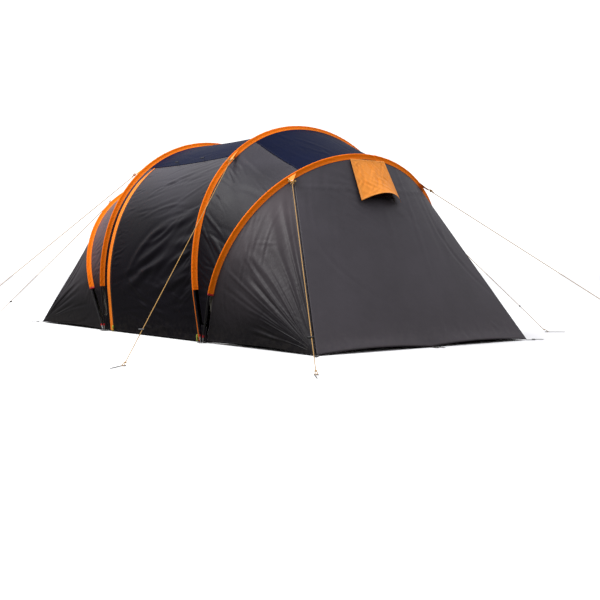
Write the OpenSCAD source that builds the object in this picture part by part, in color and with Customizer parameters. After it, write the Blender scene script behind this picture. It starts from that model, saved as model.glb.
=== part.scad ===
// Four-hoop tunnel tent. +X is the front, +Z is up, the origin is on the ground under the middle.

/* [Overall] */
// Height of the two middle hoops, along their own plane, to the pole's centre line
crest_height = 1890; // [1600:5:2300]
// Height of the two end hoops, along their own sloping plane
end_crest_height = 1700; // [1450:5:2050]
// Half of the distance between the left and right feet of a hoop
hoop_half_span = 1200; // [1000:5:1450]
// Distance between the two pairs of hoop feet
mid_length = 1790; // [1500:5:2150]
// Distance from the front hoop feet to the front corners
front_reach = 1460; // [1250:5:1750]
// Distance from the rear hoop feet to the rear corners
rear_reach = 1610; // [1350:5:1950]
// Half of the width of the base at the corners
base_half_width = 1160; // [950:5:1400]

/* [Hoops] */
// Outer diameter of the glass-fibre poles
pole_d = 12.7; // [8:0.1:16]
// Length of the straight leg at each end of a pole
leg_length = 370; // [250:5:500]
// Lean of the middle hoops toward the middle of the tent, in degrees
mid_lean = 3.5; // [0:0.5:6]
// Lean of the end hoops away from the middle of the tent, in degrees
end_lean = 23; // [18:0.5:28]
// Distance between the two poles that share a foot
foot_gap = 30; // [26:1:50]

/* [Sleeves] */
// Width of a sleeve where it is sewn to the skin
sleeve_base = 46; // [40:1:80]
// Height of the pole's centre line above the skin
sleeve_rise = 28; // [24:1:50]
// Thickness of the sleeve's cloth
sleeve_wall = 1.5; // [1:0.1:3]
// Height above the ground at which the sleeves end
sleeve_end = 450; // [420:5:600]

/* [Skin] */
// Thickness of the tent skin, seams included
skin_t = 4; // [3:0.5:8]
// Gap between neighbouring skin panels and sleeves
seam_gap = 1; // [0.5:0.5:3]
// Height of the lower hem above the ground
hem_height = 5; // [2:1:30]
// Turn of the seam between door and roof, in degrees from the crest
door_seam_turn = 39; // [35:1:55]
// Turn of the seam between the roof and sides of an end bay
bay_seam_turn = 29; // [20:1:38]
// Turn of the seam between an end wall and its wings
wall_turn = 34; // [26:1:38]

/* [Side door] */
// Distance from the rear middle sleeve to the zip
zip_rear_offset = 112; // [90:1:220]
// Distance from the front middle sleeve to the zip
zip_front_offset = 44; // [40:1:120]
// Width of a zip
zip_w = 12; // [8:1:20]
// Width of the orange flap beside the rear zip
flap_w = 58; // [30:1:70]
// Gap along the door's hinge seam
door_hinge_gap = 8; // [6:0.5:14]
/* [Vents] */
// Width of a vent hood at its top
hood_w_top = 380; // [300:5:480]
// Width of a vent hood at its bottom
hood_w_bottom = 440; // [340:5:540]
// Length of a vent hood down the wall
hood_len = 400; // [320:5:460]
// How far the propped hood stands off the wall
hood_out = 104; // [60:1:120]

/* [Guy lines] */
// Diameter of the guy lines
cord_d = 6; // [3:0.5:8]
// Hole in a guy tab
tab_hole_d = 9; // [7:0.5:12]
// Diameter of a peg
peg_d = 6; // [4:0.5:9]
// Length of a guy peg
peg_len = 180; // [120:5:250]

/* [Sleeping cabins] */
// Gap between the outer skin and a cabin at its walls
cabin_gap = 80; // [60:5:160]
// Thickness of a cabin's cloth
cabin_t = 3; // [2:0.5:6]
// Width of a cabin's doorway
cabin_door_w = 900; // [600:10:1100]
// Height of a cabin's doorway
cabin_door_h = 1350; // [1000:10:1450]

/* [Hidden] */
$fn = 48;

// Places along the tent
overall_length = mid_length + front_reach + rear_reach;
front_x = overall_length / 2;
rear_x = -front_x;
front_feet_x = front_x - front_reach;
rear_feet_x = rear_x + rear_reach;

// Every hoop: x of its feet, lean, height and the turn at which the roof arc ends
leg_slope = 96.5;
mid_roof_turn = 72;
end_roof_turn = 41;
hoop_front_end = [front_feet_x + foot_gap / 2, end_lean, end_crest_height, end_roof_turn];
hoop_front_mid = [front_feet_x - foot_gap / 2, -mid_lean, crest_height, mid_roof_turn];
hoop_rear_mid = [rear_feet_x + foot_gap / 2, mid_lean, crest_height, mid_roof_turn];
hoop_rear_end = [rear_feet_x - foot_gap / 2, -end_lean, end_crest_height, end_roof_turn];
hoops = [hoop_front_end, hoop_front_mid, hoop_rear_mid, hoop_rear_end];

// Stations along a hoop are turns in degrees from the crest, negative on the left (-Y).
// Past leg_slope they run down the straight leg, which is leg_span degrees long.
leg_span = 10;
foot_q = leg_slope + leg_span;
gusset_q = leg_slope + leg_span * 0.58;

function unit(v) = v / norm(v);
function lerp(a, b, t) = a + (b - a) * t;

// The roof arc and the side arc follow from the height and the half span: two linear equations.
function arc_det(h) = sin(h[3]) * (cos(h[3]) - cos(leg_slope))
    - (sin(leg_slope) - sin(h[3])) * (1 - cos(h[3]));
function side_reach() = hoop_half_span - leg_length * cos(leg_slope);
function side_drop(h) = h[2] - leg_length * sin(leg_slope);
function roof_r(h) = (side_reach() * (cos(h[3]) - cos(leg_slope))
    - side_drop(h) * (sin(leg_slope) - sin(h[3]))) / arc_det(h);
function side_r(h) = (sin(h[3]) * side_drop(h) - (1 - cos(h[3])) * side_reach()) / arc_det(h);
function roof_c(h) = [0, h[2] - roof_r(h)];
function side_c(h) = roof_c(h) + (roof_r(h) - side_r(h)) * [sin(h[3]), cos(h[3])];

// Point of the hoop in its own plane, as [across, up], moved inward by inset
function arc_yz(h, q, inset) = q <= h[3]
    ? roof_c(h) + (roof_r(h) - inset) * [sin(q), cos(q)]
    : side_c(h) + (side_r(h) - inset) * [sin(min(q, leg_slope)), cos(min(q, leg_slope))];
function leg_run(q) = max(0, q - leg_slope) / leg_span * leg_length;
function right_yz(h, q, inset) = arc_yz(h, q, inset) + leg_run(q) * [cos(leg_slope), -sin(leg_slope)];
function hoop_yz(h, q, inset) = let (p = right_yz(h, abs(q), inset)) [q < 0 ? -p[0] : p[0], p[1]];
function out_yz(q) = let (a = min(abs(q), leg_slope)) [q < 0 ? -sin(a) : sin(a), cos(a)];

// From a hoop's plane, with a distance along its normal, to the tent
function place(h, yz, along) = [h[0] + yz[1] * sin(h[1]) + along * cos(h[1]), yz[0],
    yz[1] * cos(h[1]) - along * sin(h[1])];
function above(p, z) = [p[0], p[1], max(p[2], z)];
function hoop_point(h, q, inset, along) = place(h, hoop_yz(h, q, inset), along);
function hoop_out(h, q) = let (n = out_yz(q)) [n[1] * sin(h[1]), n[0], n[1] * cos(h[1])];

// The line on which a skin panel meets a sleeve: side is 1 in front of the hoop and -1 behind it
half_base = sleeve_base / 2;
skin_along = half_base + seam_gap;
function skin_line(h, side, stations) =
    [for (q = stations) above(hoop_point(h, q, sleeve_rise, side * skin_along), hem_height)];
function steps(a, b, n) = [for (i = [0:n]) a + (b - a) * i / n];
function shifted(from, to, d) = [for (i = [0:len(from) - 1]) from[i] + d * unit(to[i] - from[i])];

// A sheet between two lines of points: rows across, thickness t inward, with an optional hole
function sheet_points(a, b, m) = [for (i = [0:len(a) - 1]) [for (j = [0:m]) lerp(a[i], b[i], j / m)]];
function sheet_normal(g, i, j) = let (n = len(g) - 1, m = len(g[0]) - 1)
    unit(cross(g[i][min(j + 1, m)] - g[i][max(j - 1, 0)], g[min(i + 1, n)][j] - g[max(i - 1, 0)][j]));
function moved(g, d) = [for (i = [0:len(g) - 1]) [for (j = [0:len(g[0]) - 1])
    g[i][j] + d * sheet_normal(g, i, j)]];
function flat(g) = [for (row = g) for (p = row) p];
function is_hole(i, j, hole) = len(hole) == 4 && i >= hole[0] && i < hole[1] && j >= hole[2] && j < hole[3];

module grid_solid(outer, inner, hole = []) {
    n = len(outer) - 1;
    m = len(outer[0]) - 1;
    k = m + 1;
    s = (n + 1) * k;
    function at(i, j) = i * k + j;
    function face(i, j, base, flip) =
        let (q = [at(i, j), at(i + 1, j), at(i + 1, j + 1), at(i, j + 1)] + base * [1, 1, 1, 1])
        flip ? [[q[0], q[2], q[1]], [q[0], q[3], q[2]]] : [[q[0], q[1], q[2]], [q[0], q[2], q[3]]];
    function wall(a, b) = [[a, b + s, b], [a, a + s, b + s]];
    outer_faces = [for (i = [0:n - 1]) for (j = [0:m - 1])
        if (!is_hole(i, j, hole)) each face(i, j, 0, false)];
    inner_faces = [for (i = [0:n - 1]) for (j = [0:m - 1])
        if (!is_hole(i, j, hole)) each face(i, j, s, true)];
    end_walls = [for (j = [0:m - 1])
        each concat(wall(at(0, j + 1), at(0, j)), wall(at(n, j), at(n, j + 1)))];
    side_walls = [for (i = [0:n - 1])
        each concat(wall(at(i, 0), at(i + 1, 0)), wall(at(i + 1, m), at(i, m)))];
    hole_ends = len(hole) == 4
        ? [for (j = [hole[2]:hole[3] - 1]) each concat(wall(at(hole[0], j), at(hole[0], j + 1)),
            wall(at(hole[1], j + 1), at(hole[1], j)))] : [];
    hole_sides = len(hole) == 4
        ? [for (i = [hole[0]:hole[1] - 1]) each concat(wall(at(i + 1, hole[2]), at(i, hole[2])),
            wall(at(i, hole[3]), at(i + 1, hole[3])))] : [];
    faces = concat(outer_faces, inner_faces, end_walls, side_walls, hole_ends, hole_sides);
    polyhedron(concat(flat(outer), flat(inner)), faces);
}

module sheet(a, b, rows = 3, t = skin_t, lift = 0, hole = []) {
    g = sheet_points(a, b, rows);
    grid_solid(moved(g, lift), moved(g, lift - t), hole);
}

// The section swept along a hoop: its children are drawn with x outward and y along the normal
module in_hoop(h) {
    translate([h[0], 0, 0])
        rotate([0, h[1], 0])
            children();
}

module arc_sweep(centre, r, from, to) {
    translate([0, centre[0], centre[1]])
        rotate([90, 0, 90])
            rotate([0, 0, from])
                rotate_extrude(angle = to - from, $fn = 180)
                    translate([r, 0])
                        children();
}

function height_turn(h, z) = acos((z - side_c(h)[1]) / side_r(h));

module hoop_sweep(h, end_turn, gap = 0) {
    trim = gap / roof_r(h) * 180 / PI;
    in_hoop(h) {
        arc_sweep(roof_c(h), roof_r(h), 90 - h[3] + trim, 90 + h[3] - trim)
            children();
        for (side = [0, 1])
            mirror([0, side, 0])
                arc_sweep(side_c(h), side_r(h), 90 - end_turn, 90 - h[3])
                    children();
    }
}

module leg_sweep(h, run) {
    foot = hoop_yz(h, foot_q, 0);
    in_hoop(h)
        for (side = [0, 1])
            mirror([0, side, 0])
                translate([0, foot[0], foot[1]])
                    rotate([90 - leg_slope, 0, 0])
                        translate([0, 0, run[0]])
                            linear_extrude(run[1] - run[0])
                                rotate([0, 0, 90])
                                    children();
}

// The tip of each pole takes up this much of its leg
tip_run = 70;
cap_run = 18;

// A pole is five sections end to end, with this gap between them
section_gap = 0.2;

module pole(h) {
    color("#1c1c1e") {
        hoop_sweep(h, leg_slope, section_gap)
            circle(d = pole_d);
        leg_sweep(h, [tip_run, leg_length - section_gap])
            circle(d = pole_d);
    }
}

module pole_rear_end() {
    pole(hoop_rear_end);
}

module pole_rear_mid() {
    pole(hoop_rear_mid);
}

module pole_front_mid() {
    pole(hoop_front_mid);
}

module pole_front_end() {
    pole(hoop_front_end);
}

tip_d = pole_d + 2;
pin_d = 6;

module pole_tips() {
    color("#c9ccd0")
        for (h = hoops) {
            leg_sweep(h, [tip_run - cap_run - 28, tip_run - cap_run])
                circle(d = tip_d);
            leg_sweep(h, [2, tip_run - cap_run - 28])
                circle(d = pin_d);
        }
}

module pole_caps() {
    color("#c01820")
        for (h = hoops)
            leg_sweep(h, [tip_run - cap_run, tip_run])
                circle(d = tip_d + 3);
}

sleeve_apex = pole_d / 2 + 1.5 + sleeve_wall;

function sleeve_outline(r, base, half) = concat([[base, half]],
    [for (t = [75:-25:-75]) r * [cos(t), sin(t)]], [[base, -half]]);

module sleeve_section(grow = 0) {
    difference() {
        polygon(sleeve_outline(sleeve_apex + grow, -sleeve_rise, half_base + grow));
        polygon(sleeve_outline(sleeve_apex - sleeve_wall, -sleeve_rise + sleeve_wall,
            half_base - 2.5 * sleeve_wall));
    }
}

module sleeve(h) {
    color("#f47820")
        hoop_sweep(h, height_turn(h, sleeve_end))
            sleeve_section();
}

module sleeve_rear_end() {
    sleeve(hoop_rear_end);
}

module sleeve_rear_mid() {
    sleeve(hoop_rear_mid);
}

module sleeve_front_mid() {
    sleeve(hoop_front_mid);
}

module sleeve_front_end() {
    sleeve(hoop_front_end);
}

// Red hems close the lower ends of the sleeves
sleeve_hem_h = 14;

module sleeve_hem(h) {
    start = height_turn(h, sleeve_end);
    stop = height_turn(h, sleeve_end - sleeve_hem_h);
    in_hoop(h)
        for (side = [0, 1])
            mirror([0, side, 0])
                arc_sweep(side_c(h), side_r(h), 90 - stop, 90 - start)
                    sleeve_section();
}

module sleeve_hems() {
    color("#be141e")
        for (h = hoops)
            sleeve_hem(h);
}

// Stations of the panels
roof_steps = 8;
side_steps = 10;
seam_turn_gap = 0.06;
door_turn = door_seam_turn + door_hinge_gap / roof_r(hoop_front_mid) * 180 / PI;
mid_roof_stations = steps(-door_seam_turn, door_seam_turn, roof_steps);
mid_side_stations = concat(steps(door_turn, leg_slope, side_steps), steps(leg_slope + 2, foot_q, 4));
left_side_stations = [for (i = [len(mid_side_stations) - 1:-1:0]) -mid_side_stations[i]];
bay_side_stations = concat(steps(bay_seam_turn + seam_turn_gap, leg_slope, side_steps), [gusset_q]);
bay_left_stations = [for (i = [len(bay_side_stations) - 1:-1:0]) -bay_side_stations[i]];
roof_colour = "#2c3348";
side_colour = "#232229";
wall_colour = "#48464a";

function mid_rear_line(stations) = skin_line(hoop_rear_mid, 1, stations);
function mid_front_line(stations) = skin_line(hoop_front_mid, -1, stations);

module mid_roof() {
    color(roof_colour)
        sheet(mid_rear_line(mid_roof_stations), mid_front_line(mid_roof_stations));
}

module mid_side_right() {
    color(side_colour)
        sheet(mid_rear_line(mid_side_stations), mid_front_line(mid_side_stations), rows = 4);
}

// Lines across the door side: distances from the rear line, or from the front line when negative
door_rear = mid_rear_line(left_side_stations);
door_front = mid_front_line(left_side_stations);
zip_gap = 1;

function door_line(d) = d >= 0 ? shifted(door_rear, door_front, d) : shifted(door_front, door_rear, -d);

module door_strip_rear() {
    color(side_colour)
        sheet(door_rear, door_line(zip_rear_offset), rows = 1);
}

module door_strip_front() {
    color(side_colour)
        sheet(door_line(-zip_front_offset), door_front, rows = 1);
}

module side_door() {
    color(side_colour)
        sheet(door_line(zip_rear_offset + zip_w + 2 * zip_gap),
            door_line(-zip_front_offset - zip_w - 2 * zip_gap), rows = 6);
}

zip_t = 3;

module door_zips() {
    color("#17171a") {
        sheet(door_line(zip_rear_offset + zip_gap), door_line(zip_rear_offset + zip_gap + zip_w),
            rows = 1, t = zip_t);
        sheet(door_line(-zip_front_offset - zip_gap - zip_w), door_line(-zip_front_offset - zip_gap),
            rows = 1, t = zip_t);
    }
}

flap_t = 3;
flap_lift = 0.5 + flap_t;

module zip_flap_rear() {
    color("#f47820")
        sheet(door_line(zip_rear_offset - flap_w), door_line(zip_rear_offset - 1), rows = 1, t = flap_t,
            lift = flap_lift);
}

piping_w = 10;

module zip_piping_front() {
    color("#e0601a")
        sheet(door_line(1 - zip_front_offset), door_line(1 - zip_front_offset + piping_w), rows = 1,
            t = flap_t, lift = flap_lift);
}

// A slider sits near the foot of each zip and runs up the straight part of the door's side
slider_start = 40;
slider_size = [12, 8, 26];
slider_lift = 1;

module on_left_leg(h, along) {
    foot = hoop_yz(h, foot_q, sleeve_rise);
    in_hoop(h)
        translate([along, -foot[0], foot[1]])
            rotate([leg_slope - 90, 0, 0])
                translate([0, -slider_lift, slider_start])
                    mirror([0, 1, 0])
                        children();
}

module slider() {
    union() {
        translate([-slider_size[0] / 2, 0, 0])
            cube(slider_size);
        translate([-4, slider_size[1] - 0.5, 6])
            cube([8, 4, 14]);
        translate([-5, slider_size[1] + 3, -30])
            cube([10, 3, 46]);
    }
}

function zip_along(offset) = skin_along + (offset + zip_gap + zip_w / 2) * cos(mid_lean);

module zip_slider_rear() {
    color("#b8c832")
        on_left_leg(hoop_rear_mid, zip_along(zip_rear_offset))
            slider();
}

module zip_slider_front() {
    color("#b8c832")
        on_left_leg(hoop_front_mid, -zip_along(zip_front_offset))
            slider();
}

// Two toggles above the door's seam hold the door when it is rolled up
toggle_d = 9;
toggle_len = 60;
toggle_turn = door_seam_turn - 1.2;
toggle_places = [0.33, 0.62];

module door_toggles() {
    rear = hoop_point(hoop_rear_mid, -toggle_turn, sleeve_rise - toggle_d / 2 - 1, 0);
    front = hoop_point(hoop_front_mid, -toggle_turn, sleeve_rise - toggle_d / 2 - 1, 0);
    color("#141416")
        for (t = toggle_places)
            translate(lerp(rear, front, t))
                rotate([0, 90, 0])
                    cylinder(d = toggle_d, h = toggle_len, center = true);
}

module bay(a, b, stations, rows) {
    sheet(skin_line(a, 1, stations), skin_line(b, -1, stations), rows = rows);
}

module front_bay_roof() {
    color(roof_colour)
        bay(hoop_front_mid, hoop_front_end, steps(-bay_seam_turn, bay_seam_turn, roof_steps), 2);
}

module front_bay_sides() {
    color(side_colour) {
        bay(hoop_front_mid, hoop_front_end, bay_side_stations, 2);
        bay(hoop_front_mid, hoop_front_end, bay_left_stations, 2);
    }
}

module rear_bay_roof() {
    color(roof_colour)
        bay(hoop_rear_end, hoop_rear_mid, steps(-bay_seam_turn, bay_seam_turn, roof_steps), 2);
}

module rear_bay_sides() {
    color(side_colour) {
        bay(hoop_rear_end, hoop_rear_mid, bay_side_stations, 2);
        bay(hoop_rear_end, hoop_rear_mid, bay_left_stations, 2);
    }
}

// End walls: from the end hoop down to a straight hem between the wings' corners
wall_wing_gap = 9;
wall_base_half = base_half_width - wall_wing_gap;
wall_columns = 20;
wall_rows = 14;
vent_hole = [8, 12, 1, 3];
wall_stations = steps(-wall_turn, wall_turn, wall_columns);
function base_line(x) = [for (i = [0:wall_columns])
    [x, lerp(-wall_base_half, wall_base_half, i / wall_columns), hem_height]];
front_wall_top = skin_line(hoop_front_end, 1, wall_stations);
rear_wall_top = skin_line(hoop_rear_end, -1, wall_stations);
front_wall_grid = sheet_points(front_wall_top, base_line(front_x), wall_rows);
rear_wall_grid = sheet_points(base_line(rear_x), rear_wall_top, wall_rows);
rear_vent_hole = [vent_hole[0], vent_hole[1], wall_rows - vent_hole[3], wall_rows - vent_hole[2]];

module end_wall(g, hole) {
    grid_solid(g, moved(g, -skin_t), hole);
}

module front_wall() {
    color(wall_colour)
        end_wall(front_wall_grid, vent_hole);
}

module rear_wall() {
    color(wall_colour)
        end_wall(rear_wall_grid, rear_vent_hole);
}

// Wings: triangles from an end hoop's leg to a corner, beside the end wall
wing_edge = 60;
wing_turn = wall_turn + 0.2;
wing_stations = concat(steps(wing_turn, leg_slope, side_steps), steps(leg_slope + 2, foot_q, 4));
wing_left_stations = [for (i = [len(wing_stations) - 1:-1:0]) -wing_stations[i]];

function corner_line(corner, top, n) = [for (i = [0:n]) corner + unit(top - corner) * wing_edge * i / n];
function flipped_y(p) = [for (v = p) [v[0], -v[1], v[2]]];
function reversed(p) = [for (i = [len(p) - 1:-1:0]) p[i]];

module wings(h, side, x) {
    hoop_line = skin_line(h, side, wing_left_stations);
    n = len(hoop_line) - 1;
    corner = [x - side * 3, -base_half_width + 1, hem_height];
    edge = corner_line(corner, hoop_line[n], n);
    a = side > 0 ? hoop_line : edge;
    b = side > 0 ? edge : hoop_line;
    sheet(a, b, rows = 5);
    sheet(reversed(flipped_y(a)), reversed(flipped_y(b)), rows = 5);
}

module front_wings() {
    color(side_colour)
        wings(hoop_front_end, 1, front_x);
}

module rear_wings() {
    color(side_colour)
        wings(hoop_rear_end, -1, rear_x);
}

// Where two poles come down together a gusset closes the skin behind them
gusset_t = 3;
gusset_h = 140;
gusset_w = foot_gap + 2 * (half_base - 3);

module at_feet() {
    foot = hoop_yz(hoop_front_mid, foot_q, sleeve_rise);
    for (x = [front_feet_x, rear_feet_x])
        for (side = [0, 1])
            mirror([0, side, 0])
                translate([x, -foot[0], 0])
                    children();
}

module foot_gussets() {
    color(side_colour)
        at_feet()
            translate([0, 0, hem_height])
                rotate([leg_slope - 90, 0, 0])
                    translate([-gusset_w / 2, 2, 2])
                        cube([gusset_w, gusset_t, gusset_h]);
}

// A webbing tab at each foot takes the pins of both poles
webbing_t = 3;
pin_hole_d = pin_d + 5;

module foot_webbing() {
    reach = sleeve_rise + 26;
    pin_y = -(hoop_half_span - hoop_yz(hoop_front_mid, foot_q, sleeve_rise)[0]);
    color("#1a1a1c")
        at_feet()
            difference() {
                translate([-38, -reach, 0.5])
                    cube([76, reach - 1, webbing_t]);
                for (dx = [-foot_gap / 2, foot_gap / 2])
                    translate([dx, pin_y, 0])
                        cylinder(d = pin_hole_d, h = 10);
            }
}

// Vents: a mesh in the hole of each end wall, a hood over it and a prop between them
function block(g, c) = [for (i = [c[0]:c[1]]) [for (j = [c[2]:c[3]]) g[i][j]]];
function shrunk(g, k) = let (p = flat(g), s = len(p), mid = [for (r = p) 1] * p / s)
    [for (row = g) [for (v = row) lerp(v, mid, k)]];
mesh_t = 1.5;

module vent_mesh(g, hole) {
    b = shrunk(block(g, hole), 0.012);
    grid_solid(moved(b, -1), moved(b, -1 - mesh_t));
}

module vent_meshes() {
    color("#2a1216") {
        vent_mesh(front_wall_grid, vent_hole);
        vent_mesh(rear_wall_grid, rear_vent_hole);
    }
}

hood_columns = 12;
hood_rows = 8;
hood_t = 3;
hood_top_gap = 12;
hood_base_gap = 6;
wall_slope_top = hoop_point(hoop_front_end, 0, sleeve_rise, skin_along);
front_slope = unit([front_x, 0, hem_height] - wall_slope_top);
front_normal = [-front_slope[2], 0, front_slope[0]];
hood_top = wall_slope_top + front_slope * hood_top_gap;

function hood_point(a, b) =
    let (w = lerp(hood_w_top, hood_w_bottom, b) / 2, rise = (1 - a * a) * hood_out * pow(b, 1.4))
    hood_top + [0, a * w, 0] + front_slope * hood_len * b * (1 - 0.06 * (1 - a * a) * b)
    + front_normal * (hood_base_gap + rise);
hood_grid = [for (i = [0:hood_columns]) [for (j = [0:hood_rows])
    hood_point(-1 + 2 * i / hood_columns, j / hood_rows)]];

module front_vent_hood() {
    color("#ff9e46")
        grid_solid(moved(hood_grid, hood_t), hood_grid);
}

// The rear hood mirrors the front one and moves to the slope of the rear wall
rear_slope_top = hoop_point(hoop_rear_end, 0, sleeve_rise, -skin_along);
rear_slope = unit([rear_x, 0, hem_height] - rear_slope_top);
slope_turn = atan2(rear_slope[2], -rear_slope[0]) - atan2(front_slope[2], front_slope[0]);

module at_rear_wall() {
    translate(rear_slope_top)
        rotate([0, slope_turn, 0])
            mirror([1, 0, 0])
                translate(-wall_slope_top)
                    children();
}

module rear_vent_hood() {
    color("#ff9e46")
        at_rear_wall()
            grid_solid(moved(hood_grid, hood_t), hood_grid);
}

prop_size = [10, 16];
prop_down = 0.78;
prop_base_gap = 3;

module vent_prop() {
    base = hood_top + front_slope * hood_len * prop_down;
    reach = hood_base_gap + hood_out * pow(prop_down, 1.4) - prop_base_gap - 3;
    translate(base + front_normal * prop_base_gap)
        rotate([0, atan2(front_normal[0], front_normal[2]), 0])
            translate([-prop_size[0] / 2, -prop_size[1] / 2, 0])
                cube([prop_size[0], prop_size[1], reach]);
}

module front_vent_prop() {
    color("#101012")
        vent_prop();
}

module rear_vent_prop() {
    color("#101012")
        at_rear_wall()
            vent_prop();
}

// Sleeping cabins hang inside both end bays
floor_t = 3;
cabin_inset = sleeve_rise + skin_t + cabin_gap;
cabin_q = leg_slope + leg_span * 0.9;
cabin_stations = concat(steps(-cabin_q, -leg_slope, 2), steps(-84, 84, 14), steps(leg_slope, cabin_q, 2));
cabin_base_half = base_half_width - 110;
cabin_floor_z = floor_t + cabin_t + 2;
cabin_end_back = 190;

function cabin_line(h, inset, along) =
    [for (q = cabin_stations) above(hoop_point(h, q, inset, along), cabin_floor_z)];
function cabin_base(x) = let (n = len(cabin_stations) - 1)
    [for (i = [0:n]) [x, lerp(-cabin_base_half, cabin_base_half, i / n), cabin_floor_z]];

module cabin(mid_hoop, end_hoop, side, x) {
    near_line = cabin_line(mid_hoop, cabin_inset, side * 40);
    far_line = cabin_line(end_hoop, cabin_inset + 10, 0);
    wall_line = cabin_line(end_hoop, cabin_inset + 10, side * 4);
    base = cabin_base(x - side * cabin_end_back);
    if (side > 0) {
        sheet(near_line, far_line, rows = 2, t = cabin_t);
        sheet(wall_line, base, rows = 4, t = cabin_t);
    } else {
        sheet(far_line, near_line, rows = 2, t = cabin_t);
        sheet(base, wall_line, rows = 4, t = cabin_t);
    }
}

module front_cabin() {
    color("#d8d4c8")
        cabin(hoop_front_mid, hoop_front_end, 1, front_x);
}

module rear_cabin() {
    color("#d8d4c8")
        cabin(hoop_rear_mid, hoop_rear_end, -1, rear_x);
}

module groundsheet(from, to) {
    translate([min(from, to), -cabin_base_half, 0])
        cube([abs(to - from), 2 * cabin_base_half, floor_t]);
}

module groundsheets() {
    color("#5a6068") {
        groundsheet(front_feet_x + 20, front_x - cabin_end_back + 10);
        groundsheet(rear_feet_x - 20, rear_x + cabin_end_back - 10);
    }
}

curtain_along = 36;

module curtain(h, side) {
    outline = [for (q = cabin_stations) hoop_yz(h, q, cabin_inset + cabin_t + 1)];
    floor_z = floor_t + 6;
    in_hoop(h)
        translate([side * curtain_along - cabin_t / 2, 0, 0])
            rotate([90, 0, 90])
                linear_extrude(cabin_t)
                    difference() {
                        polygon([for (p = outline) [p[0], max(p[1], floor_z)]]);
                        translate([-cabin_door_w / 2, 120])
                            square([cabin_door_w, cabin_door_h - 120]);
                    }
}

module cabin_curtains() {
    color("#e4e0d4") {
        curtain(hoop_front_mid, 1);
        curtain(hoop_rear_mid, -1);
    }
}

roll_d = 80;

module cabin_door_roll(h, side) {
    in_hoop(h)
        translate([side * (curtain_along - cabin_t / 2 - 1 - roll_d / 2), (cabin_door_w + roll_d) / 2, 130])
            cylinder(d = roll_d, h = cabin_door_h - 150);
}

module cabin_door_rolls() {
    color("#e4e0d4") {
        cabin_door_roll(hoop_front_mid, 1);
        cabin_door_roll(hoop_rear_mid, -1);
    }
}

// Webbing loops on the hem at the corners and in the middle of both end walls, each with a peg
loop_w = 25;
loop_len = 70;
corner_angle = 45;

module at_hem() {
    for (side = [0, 1])
        mirror([side, 0, 0])
            translate([front_x + 2, 0, 0]) {
                children();
                translate([-4, base_half_width - 10, 0])
                    rotate([0, 0, corner_angle])
                        children();
                translate([-4, -base_half_width + 10, 0])
                    rotate([0, 0, -corner_angle])
                        children();
            }
}

module hem_loops() {
    color("#1a1a1c")
        at_hem()
            difference() {
                translate([3, -loop_w / 2, 0.5])
                    cube([loop_len, loop_w, webbing_t]);
                translate([loop_len - 12, 0, 0])
                    cylinder(d = peg_d + 6, h = 10);
            }
}

// A peg: a round rod with a hook at its head, lying along +X from the hook
hook_r = 11;

module peg(length) {
    translate([0, 0, peg_d / 2]) {
        rotate([0, 90, 0])
            cylinder(d = peg_d, h = length - 12);
        translate([length - 12, 0, 0])
            rotate([0, 90, 0])
                cylinder(d1 = peg_d, d2 = 1.5, h = 12, $fn = 48);
        translate([0, hook_r, 0])
            rotate([0, 0, 90])
                rotate_extrude(angle = 180)
                    translate([hook_r, 0])
                        circle(d = peg_d);
        translate([0, 2 * hook_r, 0])
            rotate([0, 90, 0])
                cylinder(d = peg_d, h = 16);
    }
}

hem_peg_len = 110;

module hem_pegs() {
    color("#2a2a2c")
        at_hem()
            translate([loop_len - 12 + peg_d / 2, 0, webbing_t + 1])
                peg(hem_peg_len - 20);
}

// Guy lines: hoop, station of its tab, and the points of the cord from tab to peg
guy_front_mid_left = [hoop_front_mid, -40, [[916, -866, 1534], [2160, -2515, 22]]];
guy_front_end_left = [hoop_front_end, -34, [[1636, -768, 1308], [3290, -1850, 22]]];
guy_front_end_right = [hoop_front_end, 34, [[1636, 768, 1308], [3290, 1850, 22]]];
guy_front_mid_right = [hoop_front_mid, 40, [[916, 858, 1524], [1930, 2030, 22]]];
guy_rear_mid_left = [hoop_rear_mid, -40, [[-766, -866, 1534], [-1970, -2315, 22]]];
guy_rear_end_left = [hoop_rear_end, -34, [[-1486, -768, 1308], [-2480, -1725, 22]]];
cords = [guy_front_mid_left, guy_front_end_left, guy_front_end_right, guy_front_mid_right, guy_rear_mid_left,
    guy_rear_end_left];
cord_rings = 12;
cord_sides = 8;

// The two rear tabs on the right have no cord, so their holes stay free
free_tabs = [[hoop_rear_mid, 40, [[-766, 866, 1534], [-1970, 2315, 22]]],
    [hoop_rear_end, 34, [[-1486, 768, 1308], [-2480, 1725, 22]]]];

// Axes along and across a straight line
function line_frame(a, b) = let (d = unit(b - a), s = unit(cross([0, 0, 1], d))) [d, s, cross(d, s)];

// Puts +Z along the line from a to b, with +X level
module along_line(a, b) {
    f = line_frame(a, b);
    multmatrix([[f[1][0], f[2][0], f[0][0], a[0]], [f[1][1], f[2][1], f[0][1], a[1]],
        [f[1][2], f[2][2], f[0][2], a[2]]])
        children();
}

module cord(c) {
    a = c[2][0];
    b = c[2][1];
    f = line_frame(a, b);
    ring = [for (i = [0:cord_sides - 1]) let (w = 360 * i / cord_sides)
        cord_d / 2 * (cos(w) * f[1] + sin(w) * f[2])];
    points = [for (k = [0:cord_rings]) for (i = [0:cord_sides - 1]) lerp(a, b, k / cord_rings) + ring[i]];
    walls = [for (k = [0:cord_rings - 1]) for (i = [0:cord_sides - 1])
        let (p = k * cord_sides + i, q = k * cord_sides + (i + 1) % cord_sides)
            each [[p, p + cord_sides, q + cord_sides], [p, q + cord_sides, q]]];
    start = [for (i = [0:cord_sides - 1]) i];
    stop = [for (i = [cord_sides - 1:-1:0]) cord_rings * cord_sides + i];
    color("#cda064")
        polyhedron(points, concat(walls, [start], [stop]));
}

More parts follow.
